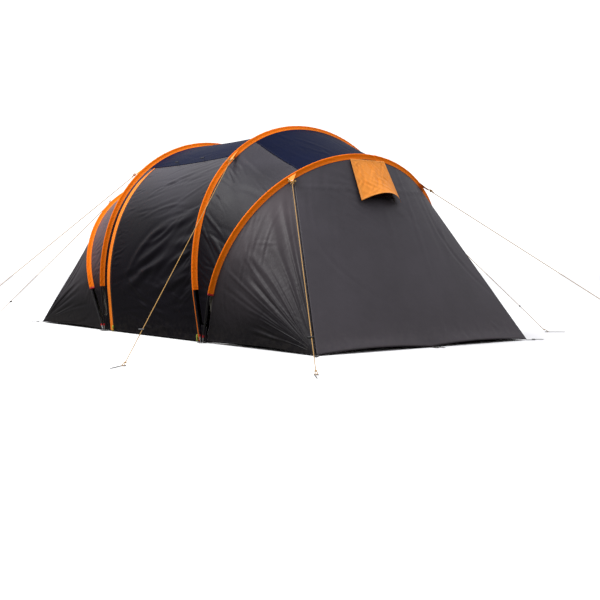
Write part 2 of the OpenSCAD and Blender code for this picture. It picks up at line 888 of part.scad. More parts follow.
module guyline_front_mid_left() {
    cord(guy_front_mid_left);
}

module guyline_front_end_left() {
    cord(guy_front_end_left);
}

module guyline_front_end_right() {
    cord(guy_front_end_right);
}

module guyline_front_mid_right() {
    cord(guy_front_mid_right);
}

module guyline_rear_mid_left() {
    cord(guy_rear_mid_left);
}

module guyline_rear_end_left() {
    cord(guy_rear_end_left);
}

// A tab: a stiff triangle of cloth from the pole toward the cord, with a hole at its tip
tab_start = 14;
tab_t = 3;
tab_base_w = 84;
tab_tip_w = 22;
tab_end_gap = 2;
tab_hole_inset = 12;

module guy_tab(c) {
    pole_point = hoop_point(c[0], c[1], 0, 0);
    to_end = c[2][0] - pole_point;
    along_pole = unit(hoop_point(c[0], c[1] + 1, 0, 0) - hoop_point(c[0], c[1] - 1, 0, 0));
    off_pole = unit(to_end - (to_end * along_pole) * along_pole);
    n = cross(off_pole, along_pole);
    reach = [to_end * off_pole, to_end * along_pole];
    d = unit(reach);
    tip = reach - tab_end_gap * d;
    half_tip = tab_tip_w / 2 * [-d[1], d[0]];
    hole = tip - tab_hole_inset * d;
    multmatrix([[off_pole[0], along_pole[0], n[0], pole_point[0]],
        [off_pole[1], along_pole[1], n[1], pole_point[1]],
        [off_pole[2], along_pole[2], n[2], pole_point[2]]])
        translate([0, 0, -tab_t / 2])
            difference() {
                linear_extrude(tab_t)
                    polygon([[tab_start, -tab_base_w / 2], tip - half_tip, tip + half_tip,
                        [tab_start, tab_base_w / 2]]);
                translate([hole[0], hole[1], -1])
                    cylinder(d = tab_hole_d, h = tab_t + 2);
            }
}

module guy_tabs() {
    color("#ff8c3c")
        for (c = concat(cords, free_tabs))
            guy_tab(c);
}

// Each guy peg lies on the ground in line with its cord, just past the cord's end
peg_start_gap = 4;

module guy_peg(c) {
    a = c[2][0];
    b = c[2][1];
    flat_dir = unit([b[0] - a[0], b[1] - a[1], 0]);
    translate([b[0], b[1], 0] + flat_dir * (peg_start_gap + hook_r + peg_d))
        rotate([0, 0, atan2(flat_dir[1], flat_dir[0])])
            translate([0, -hook_r, 0])
                peg(peg_len);
}

module guy_pegs() {
    color("#9a9a96")
        for (c = cords)
            guy_peg(c);
}

// A runner rides on each cord: a flat bar with a hole that clears the cord
runner_size = [38, 12, 9];
runner_hole_d = cord_d + 1;
runner_up = 320;

module runner(c) {
    a = c[2][0];
    b = c[2][1];
    color("#1e1e20")
        along_line(b, a)
            translate([0, 0, runner_up])
                difference() {
                    translate([-12, -runner_size[1] / 2, 0])
                        cube([runner_size[0], runner_size[1], runner_size[2]]);
                    translate([0, 0, -1])
                        cylinder(d = runner_hole_d, h = runner_size[2] + 2);
                    translate([18, 0, -1])
                        cylinder(d = cord_d, h = runner_size[2] + 2);
                }
}

module runner_front_mid_left() {
    runner(guy_front_mid_left);
}

module runner_front_end_left() {
    runner(guy_front_end_left);
}

module runner_front_end_right() {
    runner(guy_front_end_right);
}

module runner_front_mid_right() {
    runner(guy_front_mid_right);
}

module runner_rear_mid_left() {
    runner(guy_rear_mid_left);
}

module runner_rear_end_left() {
    runner(guy_rear_end_left);
}

pole_rear_end();
pole_rear_mid();
pole_front_mid();
pole_front_end();
pole_tips();
pole_caps();
sleeve_rear_end();
sleeve_rear_mid();
sleeve_front_mid();
sleeve_front_end();
sleeve_hems();
mid_roof();
mid_side_right();
door_strip_rear();
door_strip_front();
side_door();
front_bay_roof();
front_bay_sides();
rear_bay_roof();
rear_bay_sides();
front_wall();
front_wings();
rear_wall();
rear_wings();
foot_gussets();
foot_webbing();
door_zips();
zip_flap_rear();
zip_piping_front();
zip_slider_rear();
zip_slider_front();
door_toggles();
front_vent_hood();
rear_vent_hood();
vent_meshes();
front_vent_prop();
rear_vent_prop();
groundsheets();
front_cabin();
rear_cabin();
cabin_curtains();
cabin_door_rolls();
hem_loops();
hem_pegs();
guy_tabs();
guy_pegs();
guyline_front_mid_left();
guyline_front_end_left();
guyline_front_end_right();
guyline_front_mid_right();
guyline_rear_mid_left();
guyline_rear_end_left();
runner_front_mid_left();
runner_front_end_left();
runner_front_end_right();
runner_front_mid_right();
runner_rear_mid_left();
runner_rear_end_left();
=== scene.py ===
import logging
import math
import operator
from dataclasses import dataclass
from enum import Enum
from functools import reduce
from typing import Any, Callable, Iterable, Optional, Sequence

import bpy
import numpy as np
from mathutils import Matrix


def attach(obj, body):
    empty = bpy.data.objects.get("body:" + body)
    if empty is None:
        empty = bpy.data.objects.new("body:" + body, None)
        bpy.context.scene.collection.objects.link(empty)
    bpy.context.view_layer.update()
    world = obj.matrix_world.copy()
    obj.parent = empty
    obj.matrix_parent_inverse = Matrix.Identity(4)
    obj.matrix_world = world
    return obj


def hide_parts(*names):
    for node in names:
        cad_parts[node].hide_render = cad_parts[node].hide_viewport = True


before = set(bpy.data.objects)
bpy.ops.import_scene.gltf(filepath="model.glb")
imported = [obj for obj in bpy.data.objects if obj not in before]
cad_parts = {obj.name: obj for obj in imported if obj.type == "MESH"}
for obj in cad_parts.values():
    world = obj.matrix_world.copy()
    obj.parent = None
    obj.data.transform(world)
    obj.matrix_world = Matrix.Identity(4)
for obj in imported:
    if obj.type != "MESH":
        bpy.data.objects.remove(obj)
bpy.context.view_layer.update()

Array = np.ndarray
log = logging.getLogger("tent")
TENT = "tent"
HEM_Z = 0.005
LOWEST = 0.003
WALL_FOOT = 2.43
WALL = 0.0014
SEWN_WALL = 0.0012
DOUBLED_WALL = 0.0018
WEBBING_WALL = 0.0022
THIN_WALL = 0.001
WEBBING_TOP = 0.0032
MIRROR_Y = np.array([1.0, -1.0, 1.0])
ACROSS = np.array([0.0, 1.0, 0.0])
UP = np.array([0.0, 0.0, 1.0])
FULL_TURN = 2.0 * math.pi
Block = tuple[int, int, int, int]
Point = tuple[float, float, float]


def unit(v: Array) -> Array:
    """Vectors along the last axis, each divided by its own length."""
    return v / np.maximum(np.linalg.norm(v, axis=-1, keepdims=True), 1e-12)


def smooth(x: Array, low: float, high: float) -> Array:
    """A soft step from 0 at low to 1 at high: 3t squared minus 2t cubed.

    Args:
        x: Values to step.
        low: Value where the step starts.
        high: Value where the step ends.

    Returns:
        The step, the same shape as x.
    """
    t = np.clip((x - low) / (high - low), 0.0, 1.0)
    return t * t * (3.0 - 2.0 * t)


def run_length(points: Array) -> Array:
    """Distance along a line of points, starting at 0."""
    return np.concatenate([[0.0], np.cumsum(np.linalg.norm(np.diff(points, axis=0), axis=1))])


# ---------------------------------------------------------------- surfaces


@dataclass
class Surface:
    """Quads with a UV map in metres and, at each point, the distance to the nearest sewn edge."""

    points: Array
    quads: Array
    uv: Array
    edge: Array

    @staticmethod
    def grid(p: Array, uv: Optional[Array] = None, edge: Optional[Array] = None, flip: bool = False,
             round_i: bool = False, round_j: bool = False, hole: Optional[Block] = None) -> "Surface":
        """Make a surface from points on an (n, m, 3) grid.

        Quad (i, j) joins points (i, j), (i, j+1), (i+1, j+1) and (i+1, j).

        Args:
            p: Grid of points.
            uv: Grid of UV values in metres; run lengths along both directions when left out.
            edge: Grid of distances to the nearest sewn edge; far from any edge when left out.
            flip: Turn the faces round.
            round_i: Join the last row to the first.
            round_j: Join the last column to the first.
            hole: First and last row and column of a block of quads to leave out.

        Returns:
            The surface.
        """
        n, m = p.shape[:2]
        if uv is None:
            uv = metric_uv(p)
        if edge is None:
            edge = np.ones((n, m))
        i, j = np.meshgrid(np.arange(n if round_i else n - 1), np.arange(m if round_j else m - 1), indexing="ij")
        if hole is not None:
            keep = ~((i >= hole[0]) & (i < hole[1]) & (j >= hole[2]) & (j < hole[3]))
            i, j = i[keep], j[keep]
        i, j = i.ravel(), j.ravel()
        i2, j2 = (i + 1) % n, (j + 1) % m
        corners = [i * m + j, i * m + j2, i2 * m + j2, i2 * m + j]
        if flip:
            corners.reverse()
        return Surface(p.reshape(-1, 3), np.stack(corners, 1), uv.reshape(-1, 2), edge.ravel())

    def __add__(self, other: "Surface") -> "Surface":
        """Both surfaces in one.

        Args:
            other: The surface to add.

        Returns:
            The joined surface.
        """
        return Surface(np.vstack([self.points, other.points]),
                       np.vstack([self.quads, other.quads + len(self.points)]),
                       np.vstack([self.uv, other.uv]), np.concatenate([self.edge, other.edge]))

    def turned(self) -> "Surface":
        """The same surface with its faces turned round."""
        return Surface(self.points, self.quads[:, ::-1], self.uv, self.edge)

    def mapped(self, change: Callable[[Array], Array], turn: bool = False) -> "Surface":
        """The surface with its points put through a function.

        Args:
            change: Takes and returns points, one in each row.
            turn: Turn the faces round, as after a mirror.

        Returns:
            The changed surface.
        """
        made = Surface(change(self.points), self.quads, self.uv, self.edge)
        return made.turned() if turn else made

    def mirrored(self) -> "Surface":
        """The surface on the tent's other side, with its faces still outward."""
        return self.mapped(lambda p: p * MIRROR_Y, True)

    def piece(self, name: str, finish: "Finish", wall: float = 0.0, body: str = TENT,
              replaces: Sequence[str] = ()) -> bpy.types.Object:
        """Put the surface into an object.

        Args:
            name: Name of the piece.
            finish: Finish it wears.
            wall: Thickness of the cloth, inward; 0 leaves the surface as it is.
            body: Body it rides on.
            replaces: CAD nodes it stands for.

        Returns:
            The object.
        """
        mesh = bpy.data.meshes.new(name)
        mesh.vertices.add(len(self.points))
        mesh.vertices.foreach_set("co", self.points.astype(np.float32).ravel())
        mesh.loops.add(self.quads.size)
        mesh.loops.foreach_set("vertex_index", self.quads.astype(np.int32).ravel())
        mesh.polygons.add(len(self.quads))
        mesh.polygons.foreach_set("loop_start", np.arange(0, self.quads.size, 4, dtype=np.int32))
        mesh.update(calc_edges=True)
        mesh.validate()
        layer = mesh.uv_layers.new(name="UVMap")
        layer.data.foreach_set("uv", self.uv[self.quads.ravel()].astype(np.float32).ravel())
        mark = mesh.attributes.new("edge_m", "FLOAT", "POINT")
        mark.data.foreach_set("value", self.edge.astype(np.float32))
        mesh.polygons.foreach_set("use_smooth", np.full(len(mesh.polygons), True))
        mesh.materials.append(finish.material())
        obj = bpy.data.objects.new(name, mesh)
        bpy.context.scene.collection.objects.link(obj)
        if wall:
            mod = obj.modifiers.new("Wall", "SOLIDIFY")
            mod.thickness = wall
            mod.offset = -1.0
        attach(obj, body)
        if replaces:
            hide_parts(*replaces)
        log.info("%s: %d quads on %s", name, len(self.quads), body)
        return obj


def joined(parts: Iterable[Surface]) -> Surface:
    """All the surfaces in one, in their order."""
    return reduce(operator.add, parts)


def metric_uv(p: Array) -> Array:
    """UV in metres: mean run length across the columns for u and down the rows for v.

    Args:
        p: Grid of points.

    Returns:
        The UV grid.
    """
    u = np.concatenate([np.zeros((p.shape[0], 1)), np.cumsum(np.linalg.norm(np.diff(p, axis=1), axis=2), 1)], 1)
    v = np.concatenate([np.zeros((1, p.shape[1])), np.cumsum(np.linalg.norm(np.diff(p, axis=0), axis=2), 0)], 0)
    return np.stack([u, np.broadcast_to(v.mean(1, keepdims=True), u.shape)], 2)


def normals(p: Array) -> Array:
    """Outward unit normals of a grid: the cross of its column step and its row step."""
    return unit(np.cross(np.gradient(p, axis=1), np.gradient(p, axis=0)))


def seam_distance(uv: Array, ends: bool = True) -> Array:
    """Distance in metres to the nearest edge of a grid.

    Args:
        uv: Metric UV of the grid.
        ends: Count the first and last rows as edges too.

    Returns:
        The distances on the grid.
    """
    u, v = uv[..., 0], uv[..., 1]
    d = np.minimum(u, u[:, -1:] - u)
    return np.minimum(d, np.minimum(v, v[-1:, :] - v)) if ends else d


@dataclass(frozen=True)
class Folds:
    """Soft straight creases that cloth under tension shows.

    Each crease is (1 - r squared) times exp(-r squared / 2) across its width and fades as a bell along its
    length, so that it has a ridge and two shallow valleys.
    """

    seed: int
    count: int
    across: tuple[float, float]
    down: tuple[float, float]
    angle: tuple[float, float]
    length: tuple[float, float]
    width: tuple[float, float]
    height: tuple[float, float]
    bow: float = 0.6

    def relief(self, uv: Array) -> Array:
        """Height of all the creases.

        Args:
            uv: Metric UV of the cloth.

        Returns:
            Height in metres at each point of the cloth.
        """
        rng = np.random.default_rng(self.seed)
        u, v = uv[..., 0], uv[..., 1]
        span_u, span_v = float(u.max()), float(v.max())
        total = np.zeros(u.shape)
        for _ in range(self.count):
            cu, cv = rng.uniform(*self.across) * span_u, rng.uniform(*self.down) * span_v
            turn = math.radians(rng.normal(*self.angle))
            long, wide = rng.uniform(*self.length), rng.uniform(*self.width)
            high = rng.uniform(*self.height) * rng.choice([-1.0, 1.0], p=[0.4, 0.6])
            along = (u - cu) * math.cos(turn) + (v - cv) * math.sin(turn)
            beside = (v - cv) * math.cos(turn) - (u - cu) * math.sin(turn)
            r = (beside + rng.uniform(-self.bow, self.bow) * along ** 2) / wide
            total += high * (1.0 - r * r) * np.exp(-0.5 * r * r) * np.exp(-((along / long) ** 2))
        return total


def creases(folds: Sequence[Folds], uv: Array) -> Array:
    """Height of several sets of creases together."""
    return sum((f.relief(uv) for f in folds), np.zeros(uv.shape[:2]))


def tube(path: Array, radius: float, sides: int = 10, strands: int = 0, lay: float = 0.02) -> Surface:
    """Carry a circle along a line of points, with closed round ends.

    Each ring is centre + r (cos w S + sin w T), where S and T are square to the line. With strands, r swells by
    cos(strands w - turn), which winds round the line once every lay.

    Args:
        path: Centre line.
        radius: Radius of the tube.
        sides: Points round it.
        strands: Strands twisted together; 0 for a plain tube.
        lay: Length of one turn of the strands.

    Returns:
        The closed surface.
    """
    step = unit(np.gradient(path, axis=0))
    side = np.zeros_like(path)
    first = unit(np.cross(step[0], [0.0, 0.0, 1.0] if abs(step[0][2]) < 0.9 else [1.0, 0.0, 0.0]))
    for k in range(len(path)):
        first = unit(first - step[k] * float(first @ step[k]))
        side[k] = first
    up = np.cross(step, side)
    w = np.linspace(0.0, FULL_TURN, sides, endpoint=False)
    s = run_length(path)
    swell = np.ones((len(path), sides))
    if strands:
        swell = 0.9 + 0.1 * np.cos(strands * w[None, :] - FULL_TURN * s[:, None] / lay)
    ends = np.ones(len(path))
    ends[[0, -1]] = 0.02
    r = radius * swell * ends[:, None]
    ring = np.cos(w)[None, :, None] * side[:, None] + np.sin(w)[None, :, None] * up[:, None]
    p = path[:, None] + r[..., None] * ring
    uv = np.stack([np.broadcast_to(w * radius, r.shape), np.broadcast_to(s[:, None], r.shape)], 2)
    return Surface.grid(p, uv, round_j=True)


def ring_plate(outer: Array, centre: Array, inner: Array, rings: int = 6, rays: int = 96) -> Surface:
    """A flat plate with a hole, in X and Y.

    A point lies on a ray from the centre, a share of the way from the inner outline to the outer one.

    Args:
        outer: Corners of the outline, as (k, 2), that the centre can see.
        centre: A point inside the hole.
        inner: Corners of the hole's outline.
        rings: Rings of faces between hole and outline.
        rays: Rays round the centre.

    Returns:
        The plate at z = 0, facing +Z.
    """
    w = np.linspace(-math.pi, math.pi, rays, endpoint=False) + 0.001
    corners = np.vstack([outer, inner]) - centre
    w = np.unique(np.concatenate([w, np.arctan2(corners[:, 1], corners[:, 0])]).round(7))
    d = np.stack([np.cos(w), np.sin(w)], 1)

    def reach(outline: Array) -> Array:
        """Distance along each ray to the outline.

        Args:
            outline: Corners of the outline.

        Returns:
            One distance for each ray.
        """
        a = outline - centre
        b = np.roll(a, -1, axis=0) - a
        cross = d[:, None, 0] * b[None, :, 1] - d[:, None, 1] * b[None, :, 0]
        cross = np.where(np.abs(cross) < 1e-12, 1e-12, cross)
        t = (a[None, :, 0] * b[None, :, 1] - a[None, :, 1] * b[None, :, 0]) / cross
        s = (a[None, :, 0] * d[:, None, 1] - a[None, :, 1] * d[:, None, 0]) / cross
        good = (t > 0) & (s > -1e-6) & (s < 1 + 1e-6)
        return np.where(good, t, 1e9).min(1)

    r0, r1 = reach(inner), reach(outer)
    k = np.linspace(0.0, 1.0, rings + 1)
    r = r0[:, None] + (r1 - r0)[:, None] * k[None]
    p = np.zeros((len(w), rings + 1, 3))
    p[..., :2] = centre + d[:, None] * r[..., None]
    edge = np.minimum(r - r0[:, None], r1[:, None] - r)
    return Surface.grid(p, p[..., :2] - p[..., :2].min((0, 1)), edge, round_i=True)


def disc(radius: float, sides: int = 24) -> Array:
    """Corners of a round hole about the origin."""
    w = np.linspace(0.0, FULL_TURN, sides, endpoint=False)
    return radius * np.stack([np.cos(w), np.sin(w)], 1)


def torus(major: float, minor: float, sides: int = 32) -> Surface:
    """A ring about Z: a circle of the minor radius carried round one of the major radius.

    Args:
        major: Radius of the ring.
        minor: Radius of its wire.
        sides: Steps round it.

    Returns:
        The ring.
    """
    w, t = np.meshgrid(np.linspace(0, FULL_TURN, sides, endpoint=False),
                       np.linspace(0, FULL_TURN, 10, endpoint=False), indexing="ij")
    r = major + minor * np.cos(t)
    p = np.stack([r * np.cos(w), r * np.sin(w), minor * np.sin(t)], 2)
    return Surface.grid(p, np.stack([w * major, t * minor], 2), round_i=True, round_j=True, flip=True)


def sheet_piece(surface: Surface, flat: tuple[float, float], held: str, **piece: Any) -> bpy.types.Object:
    """Args:
        surface: The cloth as it hangs.
        flat: Width and length it was cut to; not used.
        **piece: What Surface.piece takes.

    Returns:
        The object.
    """
    obj = surface.piece(**piece)
    return obj


def cut_size(uv: Array) -> tuple[float, float]:
    """Width and length of the rectangle that a panel is cut from, from its metric UV, 1% over."""
    return 1.01 * float(uv[..., 0].max()), 1.01 * float(uv[..., 1].max())


# ---------------------------------------------------------------- finishes


class Weave(Enum):
    """How a cloth is woven."""

    PLAIN = "plain"
    TWILL = "twill"


class Graph:
    """Adds nodes to a node tree and joins them."""

    def __init__(self, tree: bpy.types.NodeTree) -> None:
        """Keep the tree."""
        self.tree = tree

    def node(self, kind: str, **values: Any) -> bpy.types.Node:
        """Add a node.

        Args:
            kind: Blender's name of the node type.
            **values: Properties of the node, or inputs by name with _ for a space; a socket is linked.

        Returns:
            The node.
        """
        made = self.tree.nodes.new(kind)
        for key, value in values.items():
            if hasattr(made, key) and key not in made.inputs:
                setattr(made, key, value)
                continue
            socket = made.inputs[int(key[1:])] if key[1:].isdigit() else made.inputs[key.replace("_", " ")]
            self.feed(socket, value)
        return made

    def feed(self, socket: bpy.types.NodeSocket, value: Any) -> None:
        """Link an output socket to an input, or set the input's value.

        Args:
            socket: The input.
            value: An output socket, or a plain value.
        """
        if isinstance(value, bpy.types.NodeSocket):
            self.tree.links.new(value, socket)
        else:
            socket.default_value = value

    def math(self, operation: str, a: Any, b: Any = 0.0) -> bpy.types.NodeSocket:
        """A Math node's output, from two values or sockets."""
        return self.node("ShaderNodeMath", operation=operation, i0=a, i1=b).outputs[0]

    def noise(self, vector: Any, scale: float, detail: float = 3.0, rough: float = 0.5) -> bpy.types.NodeSocket:
        """A noise texture's value."""
        return self.node("ShaderNodeTexNoise", Vector=vector, Scale=scale, Detail=detail, Roughness=rough).outputs[0]

    def ramp(self, value: Any, low: float, high: float, out_low: float = 0.0,
             out_high: float = 1.0) -> bpy.types.NodeSocket:
        """A clamped straight-line map of a value from one range to another.

        Args:
            value: Value or socket.
            low: Start of its range.
            high: End of its range.
            out_low: Result at low.
            out_high: Result at high.

        Returns:
            The output socket.
        """
        made = self.node("ShaderNodeMapRange", Value=value)
        for name, number in (("From Min", low), ("From Max", high), ("To Min", out_low), ("To Max", out_high)):
            made.inputs[name].default_value = number
        return made.outputs[0]

    def mix(self, share: Any, a: Any, b: Any, blend: str = "MIX") -> bpy.types.NodeSocket:
        """A mix of two colours.

        Args:
            share: Share of the second colour.
            a: First colour.
            b: Second colour.
            blend: Kind of mix.

        Returns:
            The output socket.
        """
        made = self.node("ShaderNodeMix", data_type="RGBA", blend_type=blend)
        for socket, value in ((made.inputs[0], share), (made.inputs[6], a), (made.inputs[7], b)):
            self.feed(socket, value)
        return made.outputs[2]


def shaded(g: Graph, colour: Any, value: Any) -> bpy.types.NodeSocket:
    """A colour multiplied by one value, which becomes a grey first."""
    grey = g.node("ShaderNodeCombineColor", Red=value, Green=value, Blue=value).outputs[0]
    return g.mix(1.0, colour, grey, "MULTIPLY")


def group(name: str, inputs: Sequence[tuple[str, str, Any]], outputs: Sequence[tuple[str, str]],
          build: Callable[[Graph, Any, Any], None]) -> bpy.types.NodeTree:
    """Make a shader node group once and return it after that.

    Args:
        name: Name of the group.
        inputs: Name, socket type and first value of each input.
        outputs: Name and socket type of each output.
        build: Fills the group, from its graph, its inputs and its outputs.

    Returns:
        The group.
    """
    if name in bpy.data.node_groups:
        return bpy.data.node_groups[name]
    tree = bpy.data.node_groups.new(name, "ShaderNodeTree")
    for label, kind, value in inputs:
        socket = tree.interface.new_socket(name=label, in_out="INPUT", socket_type=kind)
        if value is not None:
            socket.default_value = value
    for label, kind in outputs:
        tree.interface.new_socket(name=label, in_out="OUTPUT", socket_type=kind)
    g = Graph(tree)
    build(g, g.node("NodeGroupInput").outputs, g.node("NodeGroupOutput").inputs)
    return tree


FLOAT, VECTOR = "NodeSocketFloat", "NodeSocketVector"
RGB = tuple[float, float, float]
DUST: RGB = (0.30, 0.26, 0.20)


def weave_group(weave: Weave) -> bpy.types.NodeTree:
    """Threads of a cloth: the height is the greater of two rows of round threads that cross, with slubs.

    Args:
        weave: How the cloth is woven.

    Returns:
        The group.
    """

    def build(g: Graph, given: Any, out: Any) -> None:
        """Fill the group.

        Args:
            g: The group's graph.
            given: The group's inputs.
            out: The group's outputs.
        """
        axes = g.node("ShaderNodeSeparateXYZ", Vector=given["Vector"]).outputs
        x, y = axes[0], axes[1]
        if weave is Weave.TWILL:
            x = g.math("ADD", x, y)
        turns = g.math("DIVIDE", FULL_TURN, given["Pitch"])
        warp = g.math("SINE", g.math("MULTIPLY", x, turns))
        weft = g.math("SINE", g.math("MULTIPLY", y, turns))
        crossed = g.math("MULTIPLY", warp, weft)
        slub = g.noise(given["Vector"], 900.0, 2.0)
        g.feed(out["Height"], g.math("ADD", g.math("MULTIPLY", crossed, 0.5), slub))
        g.feed(out["Shade"], g.ramp(crossed, -1.0, 1.0, 0.9, 1.06))

    return group(f"weave_{weave.value}", [("Vector", VECTOR, None), ("Pitch", FLOAT, 0.002)],
                 [("Height", FLOAT), ("Shade", FLOAT)], build)


def use_group() -> bpy.types.NodeTree:
    """Signs of use: slow changes of tone, fine crumples, and dust that thins with height above the ground.

    Returns:
        The group.
    """

    def build(g: Graph, given: Any, out: Any) -> None:
        """Fill the group.

        Args:
            g: The group's graph.
            given: The group's inputs.
            out: The group's outputs.
        """
        place = given["Vector"]
        tone = g.noise(place, 2.3, 4.0, 0.6)
        g.feed(out["Tone"], g.ramp(tone, 0.3, 0.7, 0.86, 1.14))
        stretched = g.node("ShaderNodeMapping", Vector=place, Scale=(1.0, 1.0, 1.6)).outputs[0]
        crumple = g.math("ADD", g.math("MULTIPLY", g.noise(stretched, 14.0, 5.0, 0.55), 1.0),
                         g.math("MULTIPLY", g.noise(place, 60.0, 3.0, 0.6), 0.18))
        g.feed(out["Crumple"], crumple)
        low = g.ramp(g.node("ShaderNodeSeparateXYZ", Vector=place).outputs[2], 0.0, 0.22, 1.0, 0.0)
        speck = g.ramp(g.noise(place, 26.0, 6.0, 0.7), 0.42, 0.75)
        g.feed(out["Dust"], g.math("MULTIPLY", g.math("MULTIPLY", low, speck), given["Dust"]))

    return group("use_and_dust", [("Vector", VECTOR, None), ("Dust", FLOAT, 0.4)],
                 [("Tone", FLOAT), ("Crumple", FLOAT), ("Dust", FLOAT)], build)


def stitch_group() -> bpy.types.NodeTree:
    """Two rows of dashes beside a sewn edge, with the cloth puckered between them.

    Returns:
        The group.
    """

    def build(g: Graph, given: Any, out: Any) -> None:
        """Fill the group.

        Args:
            g: The group's graph.
            given: The group's inputs.
            out: The group's outputs.
        """
        axes = g.node("ShaderNodeSeparateXYZ", Vector=given["Vector"]).outputs
        dash = g.ramp(g.math("SINE", g.math("MULTIPLY", g.math("ADD", axes[0], axes[1]), 900.0)), -0.2, 0.2)
        rows = None
        for inset in (0.006, 0.012):
            off = g.math("ABSOLUTE", g.math("SUBTRACT", given["Edge"], inset))
            row = g.ramp(off, 0.0004, 0.0011, 1.0, 0.0)
            rows = row if rows is None else g.math("MAXIMUM", rows, row)
        mask = g.math("MULTIPLY", rows, dash)
        g.feed(out["Mask"], mask)
        pucker = g.math("MULTIPLY", g.ramp(given["Edge"], 0.012, 0.03, 1.0, 0.0),
                        g.noise(given["Vector"], 130.0, 2.0))
        hem = g.ramp(given["Edge"], 0.0135, 0.0155, 1.0, 0.0)
        g.feed(out["Height"], g.math("ADD", g.math("ADD", pucker, g.math("MULTIPLY", mask, -0.6)), hem))

    return group("stitched_edge", [("Vector", VECTOR, None), ("Edge", FLOAT, 1.0)],
                 [("Mask", FLOAT), ("Height", FLOAT)], build)


def wear_group() -> bpy.types.NodeTree:
    """Wear of a hard part: long fine scratches, blotches of polish and grit.

    Returns:
        The group.
    """

    def build(g: Graph, given: Any, out: Any) -> None:
        """Fill the group.

        Args:
            g: The group's graph.
            given: The group's inputs.
            out: The group's outputs.
        """
        place = given["Vector"]
        drawn = g.node("ShaderNodeMapping", Vector=place, Scale=(40.0, 40.0, 900.0)).outputs[0]
        scratch = g.ramp(g.noise(drawn, 1.0, 2.0), 0.62, 0.7)
        blotch = g.ramp(g.noise(place, 18.0, 4.0, 0.6), 0.35, 0.7)
        g.feed(out["Wear"], g.math("MAXIMUM", g.math("MULTIPLY", scratch, 0.7), g.math("MULTIPLY", blotch, 0.35)))
        g.feed(out["Grain"], g.noise(place, given["Grain"], 4.0, 0.65))

    return group("hard_wear", [("Vector", VECTOR, None), ("Grain", FLOAT, 800.0)],
                 [("Wear", FLOAT), ("Grain", FLOAT)], build)


def rgba(colour: RGB) -> tuple[float, float, float, float]:
    """A colour with full alpha."""
    return (*colour, 1.0)


@dataclass(frozen=True)
class Finish:
    """What every finish has: the name of its material, a slot and a base colour."""

    name: str
    slot: str
    colour: RGB

    def material(self) -> bpy.types.Material:
        """The finish's material, made the first time it is asked for.

        Returns:
            The material.
        """
        if self.name in bpy.data.materials:
            return bpy.data.materials[self.name]
        made = bpy.data.materials.new(self.name)
        made.use_nodes = True
        made.diffuse_color = rgba(self.colour)
        made.node_tree.nodes.clear()
        g = Graph(made.node_tree)
        shader = g.node("ShaderNodeBsdfPrincipled")
        g.node("ShaderNodeOutputMaterial", Surface=shader.outputs[0])
        self.dress(g, shader.inputs)
        return made

    def dress(self, g: Graph, shader: Any) -> None:
        """Feed the shader's inputs."""
        raise NotImplementedError

    def wear_node(self, *nodes: str) -> None:
        """Put the finish on CAD nodes.

        Args:
            *nodes: Names of the nodes.
        """
        for node in nodes:
            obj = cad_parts[node]
            obj.data.materials.clear()
            obj.data.materials.append(self.material())


@dataclass(frozen=True)
class Cloth(Finish):
    """A woven, coated cloth with stitched edges, crumples, slow changes of tone and dust near the ground, and on some
    cloths a painted sheen that lightens the upper parts.
    """

    thread: RGB = (0.02, 0.02, 0.02)
    sheen: float = 0.25
    rough: float = 0.5
    gloss: float = 0.4
    pitch: float = 0.0022
    weave: Weave = Weave.PLAIN
    crumple: float = 0.0025
    dust: float = 0.08
    # high is a painted sheen: a lighter colour painted on the cloth's upper parts. It fades in over the heights in
    # metres that the next field gives, in place of the light that cloth facing the sky catches.
    high: Optional[RGB] = None
    painted_sheen_band: tuple[float, float] = (0.6, 1.5)

    def dress(self, g: Graph, shader: Any) -> None:
        """Feed the shader: colour by tone, weave, stitching, dust and a painted sheen toward the top; roughness by
        tone; bump from all of them.

        Args:
            g: The material's graph.
            shader: The shader's inputs.
        """
        uv = g.node("ShaderNodeUVMap", uv_map="UVMap").outputs[0]
        place = g.node("ShaderNodeTexCoord").outputs["Object"]
        edge = g.node("ShaderNodeAttribute", attribute_name="edge_m").outputs["Fac"]
        weave = g.node("ShaderNodeGroup", node_tree=weave_group(self.weave), Vector=uv, Pitch=self.pitch).outputs
        use = g.node("ShaderNodeGroup", node_tree=use_group(), Vector=place, Dust=self.dust).outputs
        seam = g.node("ShaderNodeGroup", node_tree=stitch_group(), Vector=uv, Edge=edge).outputs
        base: Any = rgba(self.colour)
        # Painted sheen: the high colour is blended in by height above the ground, with a little noise, in place of the
        # light that the upper cloth catches.
        if self.high is not None:
            up = g.node("ShaderNodeSeparateXYZ", Vector=place).outputs[2]
            painted_sheen_height = g.math("ADD", up, g.ramp(g.noise(place, 1.1, 2.0), 0.3, 0.7, -0.12, 0.12))
            base = g.mix(g.ramp(painted_sheen_height, *self.painted_sheen_band), base, rgba(self.high))
        woven = shaded(g, shaded(g, base, use["Tone"]), weave["Shade"])
        sewn = g.mix(seam["Mask"], woven, rgba(self.thread))
        g.feed(shader["Base Color"], g.mix(use["Dust"], sewn, rgba(DUST)))
        spread = g.ramp(use["Tone"], 0.86, 1.14, self.rough - 0.05, self.rough + 0.06)
        g.feed(shader["Roughness"], g.math("ADD", spread, g.math("MULTIPLY", use["Dust"], 0.3)))
        fine = g.node("ShaderNodeBump", Height=weave["Height"], Distance=0.00012, Strength=0.5).outputs[0]
        soft = g.node("ShaderNodeBump", Height=use["Crumple"], Distance=self.crumple, Strength=0.6,
                      Normal=fine).outputs[0]
        sewing = g.node("ShaderNodeBump", Height=seam["Height"], Distance=0.0012, Strength=0.8, Normal=soft).outputs[0]
        g.feed(shader["Normal"], sewing)
        shader["Sheen Weight"].default_value = self.sheen
        shader["Sheen Roughness"].default_value = 0.4
        shader["Specular IOR Level"].default_value = self.gloss


